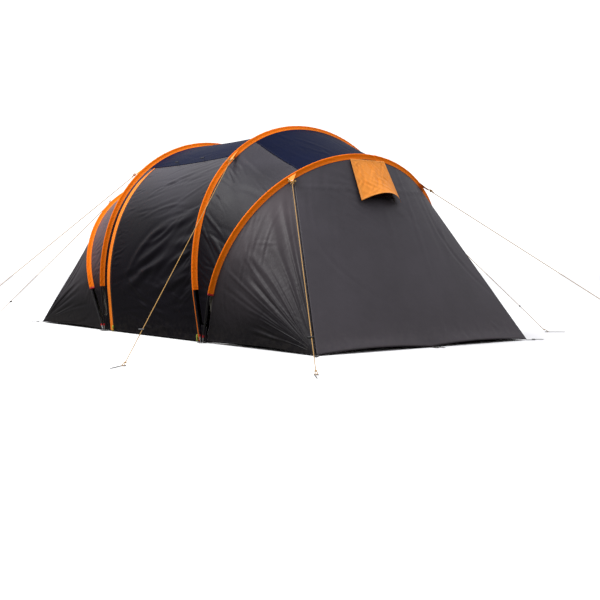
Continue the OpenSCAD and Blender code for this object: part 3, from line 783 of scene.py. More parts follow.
@dataclass(frozen=True)
class Hard(Finish):
    """Plastic, glass fibre or metal with a grain, scratches and polish."""

    worn: RGB = (0.2, 0.2, 0.2)
    metal: float = 0.0
    rough: float = 0.4
    grain: float = 800.0
    depth: float = 0.0002
    wear: float = 0.5

    def dress(self, g: Graph, shader: Any) -> None:
        """Feed the shader: colour and roughness by wear, and a grain in the bump.

        Args:
            g: The material's graph.
            shader: The shader's inputs.
        """
        place = g.node("ShaderNodeTexCoord").outputs["Object"]
        worn = g.node("ShaderNodeGroup", node_tree=wear_group(), Vector=place, Grain=self.grain).outputs
        share = g.math("MULTIPLY", worn["Wear"], self.wear)
        g.feed(shader["Base Color"], g.mix(share, rgba(self.colour), rgba(self.worn)))
        g.feed(shader["Roughness"], g.ramp(worn["Grain"], 0.3, 0.7, self.rough - 0.08, self.rough + 0.1))
        g.feed(shader["Normal"], g.node("ShaderNodeBump", Height=worn["Grain"], Distance=self.depth,
                                        Strength=0.5).outputs[0])
        shader["Metallic"].default_value = self.metal


@dataclass(frozen=True)
class Net(Finish):
    """Fine mesh: a grid of threads with small dark holes."""

    def dress(self, g: Graph, shader: Any) -> None:
        """Feed the shader: the holes darken the colour and sink in the bump.

        Args:
            g: The material's graph.
            shader: The shader's inputs.
        """
        place = g.node("ShaderNodeTexCoord").outputs["Object"]
        weave = g.node("ShaderNodeGroup", node_tree=weave_group(Weave.PLAIN), Vector=place, Pitch=0.006).outputs
        open_share = g.ramp(weave["Shade"], 0.94, 1.0)
        g.feed(shader["Base Color"], g.mix(open_share, rgba((0.004, 0.003, 0.004)), rgba(self.colour)))
        g.feed(shader["Normal"], g.node("ShaderNodeBump", Height=weave["Height"], Distance=0.0006).outputs[0])
        shader["Roughness"].default_value = 0.7


ORANGE = Cloth("orange_sleeve_cloth", "sleeve_cloth", (1.0, 0.205, 0.006), thread=(1.0, 0.45, 0.10), sheen=0.0,
               rough=0.5, gloss=0.03, crumple=0.002, dust=0.05)
PALE_ORANGE = Cloth("pale_orange_hood_cloth", "hood_cloth", (1.0, 0.34, 0.045), thread=(1.0, 0.55, 0.22), sheen=0.0,
                    rough=0.5, gloss=0.15, crumple=0.003, dust=0.05)
PALE_ORANGE_FLAP = Cloth("orange_flap_cloth", "sleeve_cloth", (1.0, 0.23, 0.010), thread=(1.0, 0.5, 0.2), sheen=0.0,
                         rough=0.5, gloss=0.12, crumple=0.003, dust=0.05)
RED_TAPE = Cloth("red_hem_tape", "hem_cloth", (0.52, 0.01, 0.015), thread=(0.6, 0.05, 0.05), pitch=0.0016,
                 weave=Weave.TWILL, crumple=0.002)
# Dark roof cloth; its navy-blue base and thread colours are a painted reflection of the blue sky on the up-facing roof
# panels.
DARK_ROOF_PAINTED_SKY_BLUE = Cloth("dark_roof_cloth_painted_sky_blue", "roof_cloth", (0.007, 0.010, 0.030), thread=(0.04, 0.045, 0.08), sheen=0.0,
             rough=0.40, gloss=0.006)
# The next four cloths carry a painted sheen: their high colour, lighter than the base, is painted on their upper parts
# by height, in place of sky light caught by the upper cloth.
CHARCOAL = Cloth("charcoal_side_cloth", "side_cloth", (0.0048, 0.0038, 0.0066), thread=(0.03, 0.028, 0.035), sheen=0.0,
                 rough=0.38, gloss=0.08, high=(0.056, 0.052, 0.064), painted_sheen_band=(1.05, 1.62))
# Near-black side cloth for the rear bay; its mauve is only the painted sheen on its upper part.
DARK_SIDE_PAINTED_MAUVE_SHEEN = Cloth("dark_side_cloth_painted_mauve_sheen", "side_cloth", (0.010, 0.008, 0.010), thread=(0.05, 0.045, 0.05), sheen=0.0,
              rough=0.40, gloss=0.08, high=(0.180, 0.122, 0.134), painted_sheen_band=(0.35, 1.35))
GREY = Cloth("grey_wall_cloth", "wall_cloth", (0.062, 0.054, 0.063), thread=(0.10, 0.09, 0.10), sheen=0.0,
             rough=0.45, gloss=0.14, high=(0.068, 0.062, 0.073), painted_sheen_band=(0.2, 1.3))
WING = Cloth("wing_cloth", "side_cloth", (0.012, 0.0105, 0.013), thread=(0.05, 0.045, 0.05), sheen=0.0, rough=0.40,
             gloss=0.12, high=(0.080, 0.067, 0.074), painted_sheen_band=(0.20, 1.15))
WEBBING = Cloth("black_webbing", "webbing", (0.012, 0.012, 0.013), thread=(0.05, 0.05, 0.05), pitch=0.003,
                weave=Weave.TWILL, crumple=0.001, rough=0.65, sheen=0.3, dust=0.6)
CABIN = Cloth("cream_cabin_cloth", "cabin_cloth", (0.62, 0.58, 0.49), thread=(0.5, 0.47, 0.4), sheen=0.3, rough=0.7,
              gloss=0.25, dust=0.15)
FLOOR = Cloth("grey_groundsheet", "floor_cloth", (0.10, 0.115, 0.135), thread=(0.08, 0.09, 0.1), pitch=0.004,
              sheen=0.05, rough=0.5, gloss=0.5, crumple=0.01)
ZIP_TAPE = Cloth("black_zip_tape", "zip", (0.010, 0.010, 0.011), thread=(0.03, 0.03, 0.03), pitch=0.0018,
                 weave=Weave.TWILL, crumple=0.001, rough=0.55, sheen=0.1)
GOLD_CORD = Cloth("gold_braided_cord", "cord", (0.52, 0.28, 0.055), thread=(0.7, 0.5, 0.25), pitch=0.0026,
                  weave=Weave.TWILL, crumple=0.001, rough=0.6, sheen=0.3, dust=0.2)
BLACK_CORD = Cloth("black_elastic_cord", "trim", (0.012, 0.012, 0.013), thread=(0.03, 0.03, 0.03), pitch=0.002,
                   weave=Weave.TWILL, crumple=0.001, rough=0.6, sheen=0.2, dust=0.2)
POLE = Hard("black_pole_fibre", "pole", (0.010, 0.010, 0.011), (0.06, 0.06, 0.06), rough=0.3, depth=0.0001)
METAL = Hard("satin_tip_metal", "metal", (0.62, 0.63, 0.65), (0.35, 0.34, 0.32), metal=1.0, rough=0.34)
RED_CAP = Hard("red_cap_plastic", "cap", (0.50, 0.012, 0.016), (0.62, 0.12, 0.10), rough=0.35)
TRIM = Hard("black_moulded_plastic", "trim", (0.012, 0.012, 0.013), (0.09, 0.09, 0.09), rough=0.45)
SLIDER = Hard("lime_slider_paint", "slider", (0.46, 0.56, 0.04), (0.5, 0.5, 0.45), rough=0.35)
PEG = Hard("dark_peg_steel", "peg", (0.16, 0.16, 0.165), (0.42, 0.41, 0.39), metal=1.0, rough=0.42, wear=0.9)
GUY_PEG = Hard("grey_peg_steel", "peg", (0.42, 0.42, 0.41), (0.25, 0.2, 0.15), metal=1.0, rough=0.4, wear=0.6)
NET = Net("dark_vent_net", "mesh", (0.045, 0.010, 0.014))


# ---------------------------------------------------------------- hoops


@dataclass(frozen=True)
class Hoop:
    """A pole hoop in its own leaning plane: a roof arc, two tighter side arcs and two straight legs.

    A station is a turn in degrees from the crest, negative on the left. Past the slope of the leg, ten more
    degrees run down the leg.
    """

    name: str
    foot_x: float
    lean: float
    height: float
    roof_turn: float
    half_span: float = 1.2
    leg: float = 0.37
    slope: float = 96.5
    leg_turn: float = 10.0

    def radii(self) -> tuple[float, float]:
        """Radii of the roof arc and the side arcs, from the height and half span: two linear equations.

        Returns:
            Roof radius and side radius.
        """
        a, b = math.radians(self.roof_turn), math.radians(self.slope)
        reach = self.half_span - self.leg * math.cos(b)
        drop = self.height - self.leg * math.sin(b)
        det = math.sin(a) * (math.cos(a) - math.cos(b)) - (math.sin(b) - math.sin(a)) * (1 - math.cos(a))
        roof = (reach * (math.cos(a) - math.cos(b)) - drop * (math.sin(b) - math.sin(a))) / det
        return roof, (math.sin(a) * drop - (1 - math.cos(a)) * reach) / det

    def side_centre(self) -> tuple[float, float]:
        """Centre of the right side arc, across and up.

        Returns:
            Across and up, in the hoop's plane.
        """
        roof, side = self.radii()
        a = math.radians(self.roof_turn)
        return (roof - side) * math.sin(a), self.height - roof + (roof - side) * math.cos(a)

    def plane(self, q: Array, inset: Any) -> tuple[Array, Array]:
        """Across and up in the hoop's plane.

        Args:
            q: Stations.
            inset: Distance inward from the pole's centre line.

        Returns:
            Across and up.
        """
        roof, side = self.radii()
        cy, cz = self.side_centre()
        turn = np.radians(np.minimum(np.abs(q), self.slope))
        on_roof = np.abs(q) <= self.roof_turn
        y = np.where(on_roof, (roof - inset) * np.sin(turn), cy + (side - inset) * np.sin(turn))
        z = np.where(on_roof, self.height - roof + (roof - inset) * np.cos(turn), cz + (side - inset) * np.cos(turn))
        run = np.maximum(np.abs(q) - self.slope, 0.0) / self.leg_turn * self.leg
        b = math.radians(self.slope)
        return np.sign(q) * (y + run * math.cos(b)), z - run * math.sin(b)

    def point(self, q: Any, inset: Any = 0.0, along: Any = 0.0) -> Array:
        """Points of the tent at stations, insets and distances along the hoop plane's normal.

        Args:
            q: Stations.
            inset: Distance inward from the pole's centre line.
            along: Distance along the normal of the hoop's plane.

        Returns:
            The points.
        """
        y, z = self.plane(np.asarray(q, float), inset)
        return self.place(y, z, along)

    def place(self, across: Any, up: Any, along: Any) -> Array:
        """Points of the tent from the hoop's leaning frame.

        Args:
            across: Distance to the right.
            up: Distance up in the hoop's plane.
            along: Distance along the normal of the hoop's plane.

        Returns:
            The points.
        """
        y, z, x = np.broadcast_arrays(*(np.asarray(v, float) for v in (across, up, along)))
        lean = math.radians(self.lean)
        return np.stack([self.foot_x + z * math.sin(lean) + x * math.cos(lean), y,
                         z * math.cos(lean) - x * math.sin(lean)], -1)

    def skin(self, q: Array, side: int, inset: float = 0.028, along: float = 0.024, floor: float = HEM_Z) -> Array:
        """The line on which a panel meets the hoop's sleeve, in front (1) of it or behind it (-1).

        Args:
            q: Stations.
            side: 1 in front of the hoop, -1 behind it.
            inset: Distance inward.
            along: Distance from the hoop's plane.
            floor: Lowest z.

        Returns:
            The line of points.
        """
        p = self.point(q, inset, side * along)
        p[..., 2] = np.maximum(p[..., 2], floor)
        return p

    def turn_at(self, up: float) -> float:
        """Station of the side arc at a height in the hoop's plane."""
        return math.degrees(math.acos((up - self.side_centre()[1]) / self.radii()[1]))


FRONT_END = Hoop("front_end", 0.985, 23.0, 1.7, 41.0)
FRONT_MID = Hoop("front_mid", 0.955, -3.5, 1.89, 72.0)
REAR_MID = Hoop("rear_mid", -0.805, 3.5, 1.89, 72.0)
REAR_END = Hoop("rear_end", -0.835, -23.0, 1.7, 41.0)
HOOPS = (FRONT_END, FRONT_MID, REAR_MID, REAR_END)
FOOT_Q = 106.5
GUSSET_Q = 102.3


def even_stations(hoop: Hoop, start: float, stop: float, spacing: float) -> Array:
    """Stations at about equal distances along a hoop.

    Args:
        hoop: The hoop.
        start: First station.
        stop: Last station.
        spacing: Distance between them.

    Returns:
        The stations.
    """
    fine = np.linspace(start, stop, 2000)
    s = run_length(hoop.point(fine))
    return np.interp(np.linspace(0.0, s[-1], max(4, int(round(s[-1] / spacing)) + 1)), s, fine)


def stretched(a: Array, b: Array, columns: int, sag: float = 0.0, folds: Sequence[Folds] = (),
              fade: float = 0.025) -> tuple[Array, Array]:
    """Cloth pulled between two lines of points.

    A point is a + (b - a) t, moved along the outward normal by the folds and inward by sag times 4 t (1 - t).
    The sag dies away toward the ground, where the hem is pulled straight.

    Args:
        a: First line.
        b: Second line.
        columns: Faces between the lines.
        sag: Depth of the saddle.
        folds: Creases.
        fade: Distance from the lines over which the creases die away.

    Returns:
        The grid of points and its metric UV.
    """
    t = np.linspace(0.0, 1.0, columns + 1)
    p = a[:, None] + (b - a)[:, None] * t[None, :, None]
    uv = metric_uv(p)
    n = normals(p)
    relief = creases(folds, uv) * smooth(seam_distance(uv, ends=False), 0.0, fade)
    low = 4.0 * t * (1.0 - t) * sag * smooth(p[..., 2], 0.1, 0.9)
    p = p + n * (relief - low)[..., None]
    p[..., 2] = np.maximum(p[..., 2], LOWEST)
    return p, uv


def panel(name: str, node: str, finish: Finish, p: Array, uv: Array, held: str = "stretched", body: str = TENT,
          hole: Optional[Block] = None) -> bpy.types.Object:
    """A skin panel as a sheet of cloth with stitched edges.

    Args:
        name: Name of the piece.
        node: CAD node it stands for.
        finish: Its cloth.
        p: Grid of points.
        uv: Metric UV.
        held: How it is held.
        body: Body it rides on.
        hole: Block of quads left out.

    Returns:
        The object.
    """
    surface = Surface.grid(p, uv, seam_distance(uv), hole=hole)
    return sheet_piece(surface, cut_size(uv), held, name=name, finish=finish, wall=WALL, body=body, replaces=[node])


# ---------------------------------------------------------------- sub-assemblies


@dataclass
class Studio:
    """Floor, lights and camera."""

    place: Point = (7.696, -5.381, 0.666)
    yaw: float = 52.24
    pitch: float = -2.27
    lens: float = 57.33
    floor_half: float = 40.0
    floor_z: float = -0.002
    floor_seen: RGB = (0.95, 0.95, 0.95)
    floor_mirrored: RGB = (0.10, 0.10, 0.09)
    sky_seen: RGB = (1.4, 1.4, 1.4)
    sky_low: RGB = (0.10, 0.10, 0.10)
    sky_high: RGB = (1.30, 1.30, 1.34)
    sky_strength: float = 0.9
    lamp_at: Point = (-3.0, -6.0, 8.5)
    lamp_toward: Point = (0.0, -0.3, 0.6)
    lamp_size: float = 5.0
    lamp_power: float = 900.0

    def build(self) -> None:
        """Make the camera first, then the floor and the lights.

        Args:
            g: The group's graph.
            given: The group's inputs.
            out: The group's outputs.
        """
        camera = bpy.data.cameras.new("camera")
        camera.lens, camera.sensor_width = self.lens, 36.0
        camera.clip_end = 200.0
        eye = bpy.data.objects.new("camera", camera)
        eye.location = self.place
        eye.rotation_euler = (math.radians(90.0 + self.pitch), 0.0, math.radians(self.yaw))
        bpy.context.scene.collection.objects.link(eye)
        bpy.context.scene.camera = eye
        bpy.context.scene.view_settings.view_transform = "Standard"
        self.floor()
        self.sky()
        self.lamp()

    def floor(self) -> None:
        """A wide pale floor that looks darker in reflections, as grass or earth would."""
        x = self.floor_half * np.array([[-1.0, -1.0], [1.0, 1.0]])
        p = np.stack([x, -x.T, np.full((2, 2), self.floor_z)], 2)
        mesh = bpy.data.meshes.new("floor")
        mesh.from_pydata(p.reshape(-1, 3).tolist(), [], [(0, 1, 3, 2)])
        made = bpy.data.materials.new("pale_floor")
        made.use_nodes = True
        made.node_tree.nodes.clear()
        g = Graph(made.node_tree)
        ray = g.node("ShaderNodeLightPath").outputs
        shader = g.node("ShaderNodeBsdfPrincipled", Roughness=0.9)
        shader.inputs["Specular IOR Level"].default_value = 0.0
        tone = g.mix(ray["Is Camera Ray"], rgba(self.floor_mirrored), rgba(self.floor_seen))
        g.feed(shader.inputs["Base Color"], tone)
        g.node("ShaderNodeOutputMaterial", Surface=shader.outputs[0])
        mesh.materials.append(made)
        obj = bpy.data.objects.new("floor", mesh)
        bpy.context.scene.collection.objects.link(obj)

    def sky(self) -> None:
        """An even pale sky, brighter overhead where cloth mirrors it and dim at the horizon."""
        world = bpy.data.worlds.new("sky")
        bpy.context.scene.world = world
        world.use_nodes = True
        world.node_tree.nodes.clear()
        g = Graph(world.node_tree)
        up = g.node("ShaderNodeSeparateXYZ", Vector=g.node("ShaderNodeTexCoord").outputs["Generated"]).outputs[2]
        ray = g.node("ShaderNodeLightPath").outputs
        lit = g.mix(g.ramp(up, 0.02, 0.55), rgba(self.sky_low), rgba(self.sky_high))
        seen = g.mix(ray["Is Camera Ray"], lit, rgba(self.sky_seen))
        shader = g.node("ShaderNodeBackground", Color=seen, Strength=self.sky_strength)
        g.node("ShaderNodeOutputWorld", Surface=shader.outputs[0])

    def lamp(self) -> None:
        """One square area light above the left side."""
        light = bpy.data.lights.new("sky_panel", "AREA")
        light.size, light.energy = self.lamp_size, self.lamp_power
        obj = bpy.data.objects.new("sky_panel", light)
        obj.location = self.lamp_at
        back = unit(np.array(self.lamp_at) - np.array(self.lamp_toward))
        obj.rotation_euler = (math.acos(back[2]), 0.0, math.atan2(back[1], back[0]) + math.pi / 2.0)
        bpy.context.scene.collection.objects.link(obj)


@dataclass(frozen=True)
class Guy:
    """One guy line: its hoop, the station of its tab, and the cord's two ends in metres."""

    name: str
    hoop: Hoop
    station: float
    start: Point
    stop: Point


GUYS = (
    Guy("front_mid_left", FRONT_MID, -40, (0.916, -0.866, 1.534), (2.160, -2.515, 0.022)),
    Guy("front_end_left", FRONT_END, -34, (1.636, -0.768, 1.308), (3.290, -1.850, 0.022)),
    Guy("front_end_right", FRONT_END, 34, (1.636, 0.768, 1.308), (3.290, 1.850, 0.022)),
    Guy("front_mid_right", FRONT_MID, 40, (0.916, 0.858, 1.524), (1.930, 2.030, 0.022)),
    Guy("rear_mid_left", REAR_MID, -40, (-0.766, -0.866, 1.534), (-1.970, -2.315, 0.022)),
    Guy("rear_end_left", REAR_END, -34, (-1.486, -0.768, 1.308), (-2.480, -1.725, 0.022)),
)
FREE_TABS = (
    Guy("rear_mid_right", REAR_MID, 40, (-0.766, 0.866, 1.534), (-1.970, 2.315, 0.022)),
    Guy("rear_end_right", REAR_END, 34, (-1.486, 0.768, 1.308), (-2.480, 1.725, 0.022)),
)


@dataclass
class GuyLines:
    """Cords from the hoops to the pegs, with a knot at the tab and a loop over the peg's hook."""

    cord_d: float = 0.006
    rings: int = 420
    tab_start: float = 0.014
    tab_base: float = 0.084
    tab_tip: float = 0.022
    tab_gap: float = 0.002
    hole_inset: float = 0.012
    hole_r: float = 0.0045
    wrap_r: float = 0.0055
    bow_half: float = 0.030
    tail_half: float = 0.014
    tail_long: float = 0.034
    loop_reach: float = 0.022
    loop_half: float = 0.009
    loop_drop: float = 0.019
    loop_lift: float = 0.0025
    loop_r: float = 0.0026
    ball_r: float = 0.0022
    elastic_r: float = 0.0015
    elastic_drops: tuple[float, float] = (0.045, 0.062)

    def build(self) -> None:
        """Make every cord with its knot and loop, then the tabs.

        Args:
            g: The group's graph.
            given: The group's inputs.
            out: The group's outputs.
        """
        for guy in GUYS:
            self.line(guy)
        self.tabs()

    def line(self, guy: Guy) -> None:
        """One taut cord of three twisted strands.

        Args:
            guy: The guy line.
        """
        a, b = np.array(guy.start), np.array(guy.stop)
        t = np.linspace(0.0, 1.0, self.rings)
        path = a + (b - a) * t[:, None]
        cord = tube(path, self.cord_d / 2.0, sides=9, strands=3, lay=0.018).piece(
            f"cord_{guy.name}", GOLD_CORD, replaces=[f"guyline_{guy.name}"])
        knot = self.knot(guy, a, unit(b - a))
        loop = self.loop(guy, b, unit(np.append((b - a)[:2], 0.0)))

    def knot(self, guy: Guy, at: Array, down: Array) -> bpy.types.Object:
        """A bow at the tab: three wraps round the cord, two loops that lie over each other and two tails.

        Args:
            guy: The guy line.
            at: Where the cord leaves the tab.
            down: Unit vector along the cord.

        Returns:
            The knot.
        """
        side = unit(np.cross(down, UP))
        out = np.cross(side, down)
        t = np.linspace(0.0, FULL_TURN, 60)
        round_cord = np.cos(3 * t)[:, None] * side + np.sin(3 * t)[:, None] * out
        wrap = at + down * 0.012 + self.wrap_r * round_cord + down * (t / t[-1] * 0.012)[:, None]
        made = tube(wrap, self.loop_r)
        for sign in (-1.0, 1.0):
            u = np.linspace(0.0, math.pi, 40)
            bow = at + down * 0.016 + (sign * self.bow_half * np.sin(u) ** 0.8)[:, None] * side \
                + (0.012 * np.cos(u) * np.sin(u) * 2.0)[:, None] * down + (0.006 + 0.004 * np.sin(u))[:, None] * out
            end = sign * self.tail_half * side + self.tail_long * down
            tail = at + down * 0.018 + np.linspace(0, 1, 24)[:, None] * end \
                + (0.006 * np.sin(np.linspace(0, math.pi, 24)))[:, None] * out
            made = made + tube(bow, 0.0024) + tube(tail, 0.0022)
        return made.piece(f"knot_{guy.name}", GOLD_CORD)

    def loop(self, guy: Guy, at: Array, ahead: Array) -> bpy.types.Object:
        """A teardrop loop from the end of the cord round the hook of the peg, and the knot that closes it.

        Args:
            guy: The guy line.
            at: End of the cord.
            ahead: Level unit vector toward the peg.

        Returns:
            The loop.
        """
        side = np.cross(UP, ahead)
        u = np.linspace(0.0, FULL_TURN, 72)
        forward = self.loop_reach * (1.0 - np.cos(u))
        drop = self.loop_drop * smooth(forward, 0.0, 2.0 * self.loop_reach)
        path = at + forward[:, None] * ahead + (self.loop_half * np.sin(u) * np.sin(u / 2.0))[:, None] * side
        path = path + (self.loop_lift - drop)[:, None] * UP
        turn = np.linspace(0.0, FULL_TURN, 80)
        ball = np.stack([np.sin(turn) + 2 * np.sin(2 * turn), np.cos(turn) - 2 * np.cos(2 * turn),
                         -np.sin(3 * turn)], 1) * self.ball_r
        return (tube(path, self.loop_r) + tube(ball + at, self.loop_r)).piece(f"loop_{guy.name}", GOLD_CORD)

    def tab_frame(self, guy: Guy) -> tuple[Array, Array, Array, Array, Array]:
        """Where a tab sits: pole point, axes off, along and normal to the pole, and the tip in the first two.

        Args:
            guy: The guy line.

        Returns:
            The point, the three axes and the tip.
        """
        pole = guy.hoop.point(guy.station)
        to_end = np.array(guy.start) - pole
        along = unit(guy.hoop.point(guy.station + 1.0) - guy.hoop.point(guy.station - 1.0))
        off = unit(to_end - (to_end @ along) * along)
        return pole, off, along, np.cross(off, along), np.array([to_end @ off, to_end @ along])

    def tabs(self) -> None:
        """Triangles of doubled cloth, stitched round, each with a metal eyelet at its tip."""
        cloth: list[Surface] = []
        rings: list[Surface] = []
        for guy in GUYS + FREE_TABS:
            pole, off, along, n, reach = self.tab_frame(guy)
            d = unit(reach)
            tip = reach - self.tab_gap * d
            half = self.tab_tip / 2.0 * np.array([-d[1], d[0]])
            hole = tip - self.hole_inset * d
            outline = np.array([[self.tab_start, -self.tab_base / 2], tip - half, tip + half,
                                [self.tab_start, self.tab_base / 2]])

            def lift(p: Array) -> Array:
                """From the tab's plane to the tent, curled a little across its width."""
                return pole + p[:, :1] * off + p[:, 1:2] * along + p[:, 2:] * n

            plate = ring_plate(outline, hole, disc(self.hole_r) + hole, rings=10)
            curl = 0.0012 * np.sin((plate.points[:, 0] - self.tab_start) * 90.0)
            plate.points[:, 2] = curl + 0.0006
            eyelet = torus(self.hole_r + 0.0012, 0.0014).mapped(lambda p: p + np.append(hole, 0.0))
            cloth.append(plate.mapped(lift))
            rings.append(eyelet.mapped(lift))
        joined(cloth).piece("guy_tab_cloth", PALE_ORANGE, wall=DOUBLED_WALL, replaces=["guy_tabs"])
        joined(rings).piece("guy_tab_eyelets", METAL)
        self.elastics()

    def elastics(self) -> None:
        """Black elastic loops that hang under each tab: half an ellipse down from two points and back."""
        made: list[Surface] = []
        for guy in GUYS[:4]:
            pole, off, along, _, reach = self.tab_frame(guy)
            top = pole + off * 0.026 + along * reach[1] * 0.3
            for k, drop in enumerate(self.elastic_drops):
                u = np.linspace(0.0, math.pi, 30)
                side = unit(np.cross(off, UP))
                path = top + (0.011 * np.cos(u) + 0.008 * k)[:, None] * side \
                    - (drop * np.sin(u) ** 0.7)[:, None] * UP + off * 0.004
                made.append(tube(path, self.elastic_r))
        joined(made).piece("tab_elastics", BLACK_CORD)


@dataclass
class Sleeves:
    """Tubes of orange cloth that hold the poles: two slightly hollow flanks, a round ridge and two flanges."""

    ridge_r: float = 0.0092
    ridge_turn: float = 75.0
    flank_hollow: float = 0.0016
    depth: float = 0.028
    half_base: float = 0.023
    flange: float = 0.0045
    end_up: float = 0.45
    hem: float = 0.014
    spacing: float = 0.006

    def build(self) -> None:
        """Make the four sleeves and their hems.

        Args:
            g: The group's graph.
            given: The group's inputs.
            out: The group's outputs.
        """
        for k, hoop in enumerate(HOOPS):
            self.sleeve(hoop, 40 + k)
        for name, finish, hoops in (("end_hoop_hems", RED_TAPE, (FRONT_END, REAR_END)),
                                    ("mid_hoop_hems", ORANGE, (FRONT_MID, REAR_MID))):
            made: list[Surface] = []
            for hoop in hoops:
                for sign in (-1.0, 1.0):
                    q = np.linspace(hoop.turn_at(self.end_up), hoop.turn_at(self.end_up - self.hem), 4) * sign
                    made.append(Surface.grid(*self.shell(hoop, np.sort(q), 0, 0.0006)))
            joined(made).piece(name, finish, wall=DOUBLED_WALL, replaces=["sleeve_hems"])

    def section(self) -> tuple[Array, Array]:
        """Outward and along of the section, from the rear flange over the ridge to the front flange.

        Returns:
            Outward and along, one value for each point of the section.
        """
        turn = np.radians(np.linspace(self.ridge_turn, 0.0, 6))
        ridge = np.stack([self.ridge_r * np.cos(turn), -self.ridge_r * np.sin(turn)], 1)
        k = np.linspace(0.0, 1.0, 8)[:-1]
        foot = np.array([-self.depth + 0.0012, -self.half_base])
        flank = foot + (ridge[0] - foot) * k[:, None]
        flank = flank + np.sin(math.pi * k)[:, None] * self.flank_hollow * np.array([-0.5, 0.85])
        tongue = np.array([[-self.depth + 0.0006, -self.half_base - self.flange],
                           [-self.depth + 0.0010, -self.half_base - self.flange / 2]])
        half = np.vstack([tongue, flank, ridge])
        other = half[-2::-1] * np.array([1.0, -1.0])
        both = np.vstack([half, other])
        return both[:, 0], both[:, 1]

    def shell(self, hoop: Hoop, q: Array, seed: int, grow: float = 0.0) -> tuple[Array, Array, Array]:
        """The sleeve's cloth over a run of stations.

        Args:
            hoop: Its hoop.
            q: Stations.
            seed: Seed of the wrinkles; 0 for none.
            grow: Distance outward from the plain section.

        Returns:
            Grid of points, metric UV and distance to the sewn edge.
        """
        out, along = self.section()
        s = run_length(hoop.point(q))
        w = run_length(np.stack([out, along, out * 0.0], 1))
        p = hoop.point(q[:, None], -out[None, :], along[None, :])
        uv = np.stack([np.broadcast_to(w, (len(q), len(w))), np.broadcast_to(s[:, None], (len(q), len(w)))], 2)
        relief = np.full(uv.shape[:2], grow)
        if seed:
            slant = Folds(seed, 260, (0.1, 0.9), (0.0, 1.0), (58.0, 16.0), (0.02, 0.05), (0.003, 0.008),
                          (0.0004, 0.0012), 2.0)
            cross = Folds(seed + 9, 90, (0.1, 0.9), (0.0, 1.0), (120.0, 12.0), (0.015, 0.04), (0.003, 0.006),
                          (0.0003, 0.0009), 2.0)
            relief = relief + creases([slant, cross], uv) * smooth(out, -self.depth, -self.depth * 0.7)
        p = p + normals(p) * relief[..., None]
        edge = np.minimum(uv[..., 0], w[-1] - uv[..., 0]) - self.flange * 0.4
        return p, uv, np.maximum(edge, 0.0)

    def sleeve(self, hoop: Hoop, seed: int) -> None:
        """One sleeve from foot to foot.

        Args:
            hoop: Its hoop.
            seed: Seed of its wrinkles.
        """
        end = hoop.turn_at(self.end_up)
        surface = Surface.grid(*self.shell(hoop, even_stations(hoop, -end, end, self.spacing), seed))
        surface.piece(f"cloth_sleeve_{hoop.name}", ORANGE, wall=SEWN_WALL, replaces=[f"sleeve_{hoop.name}"])


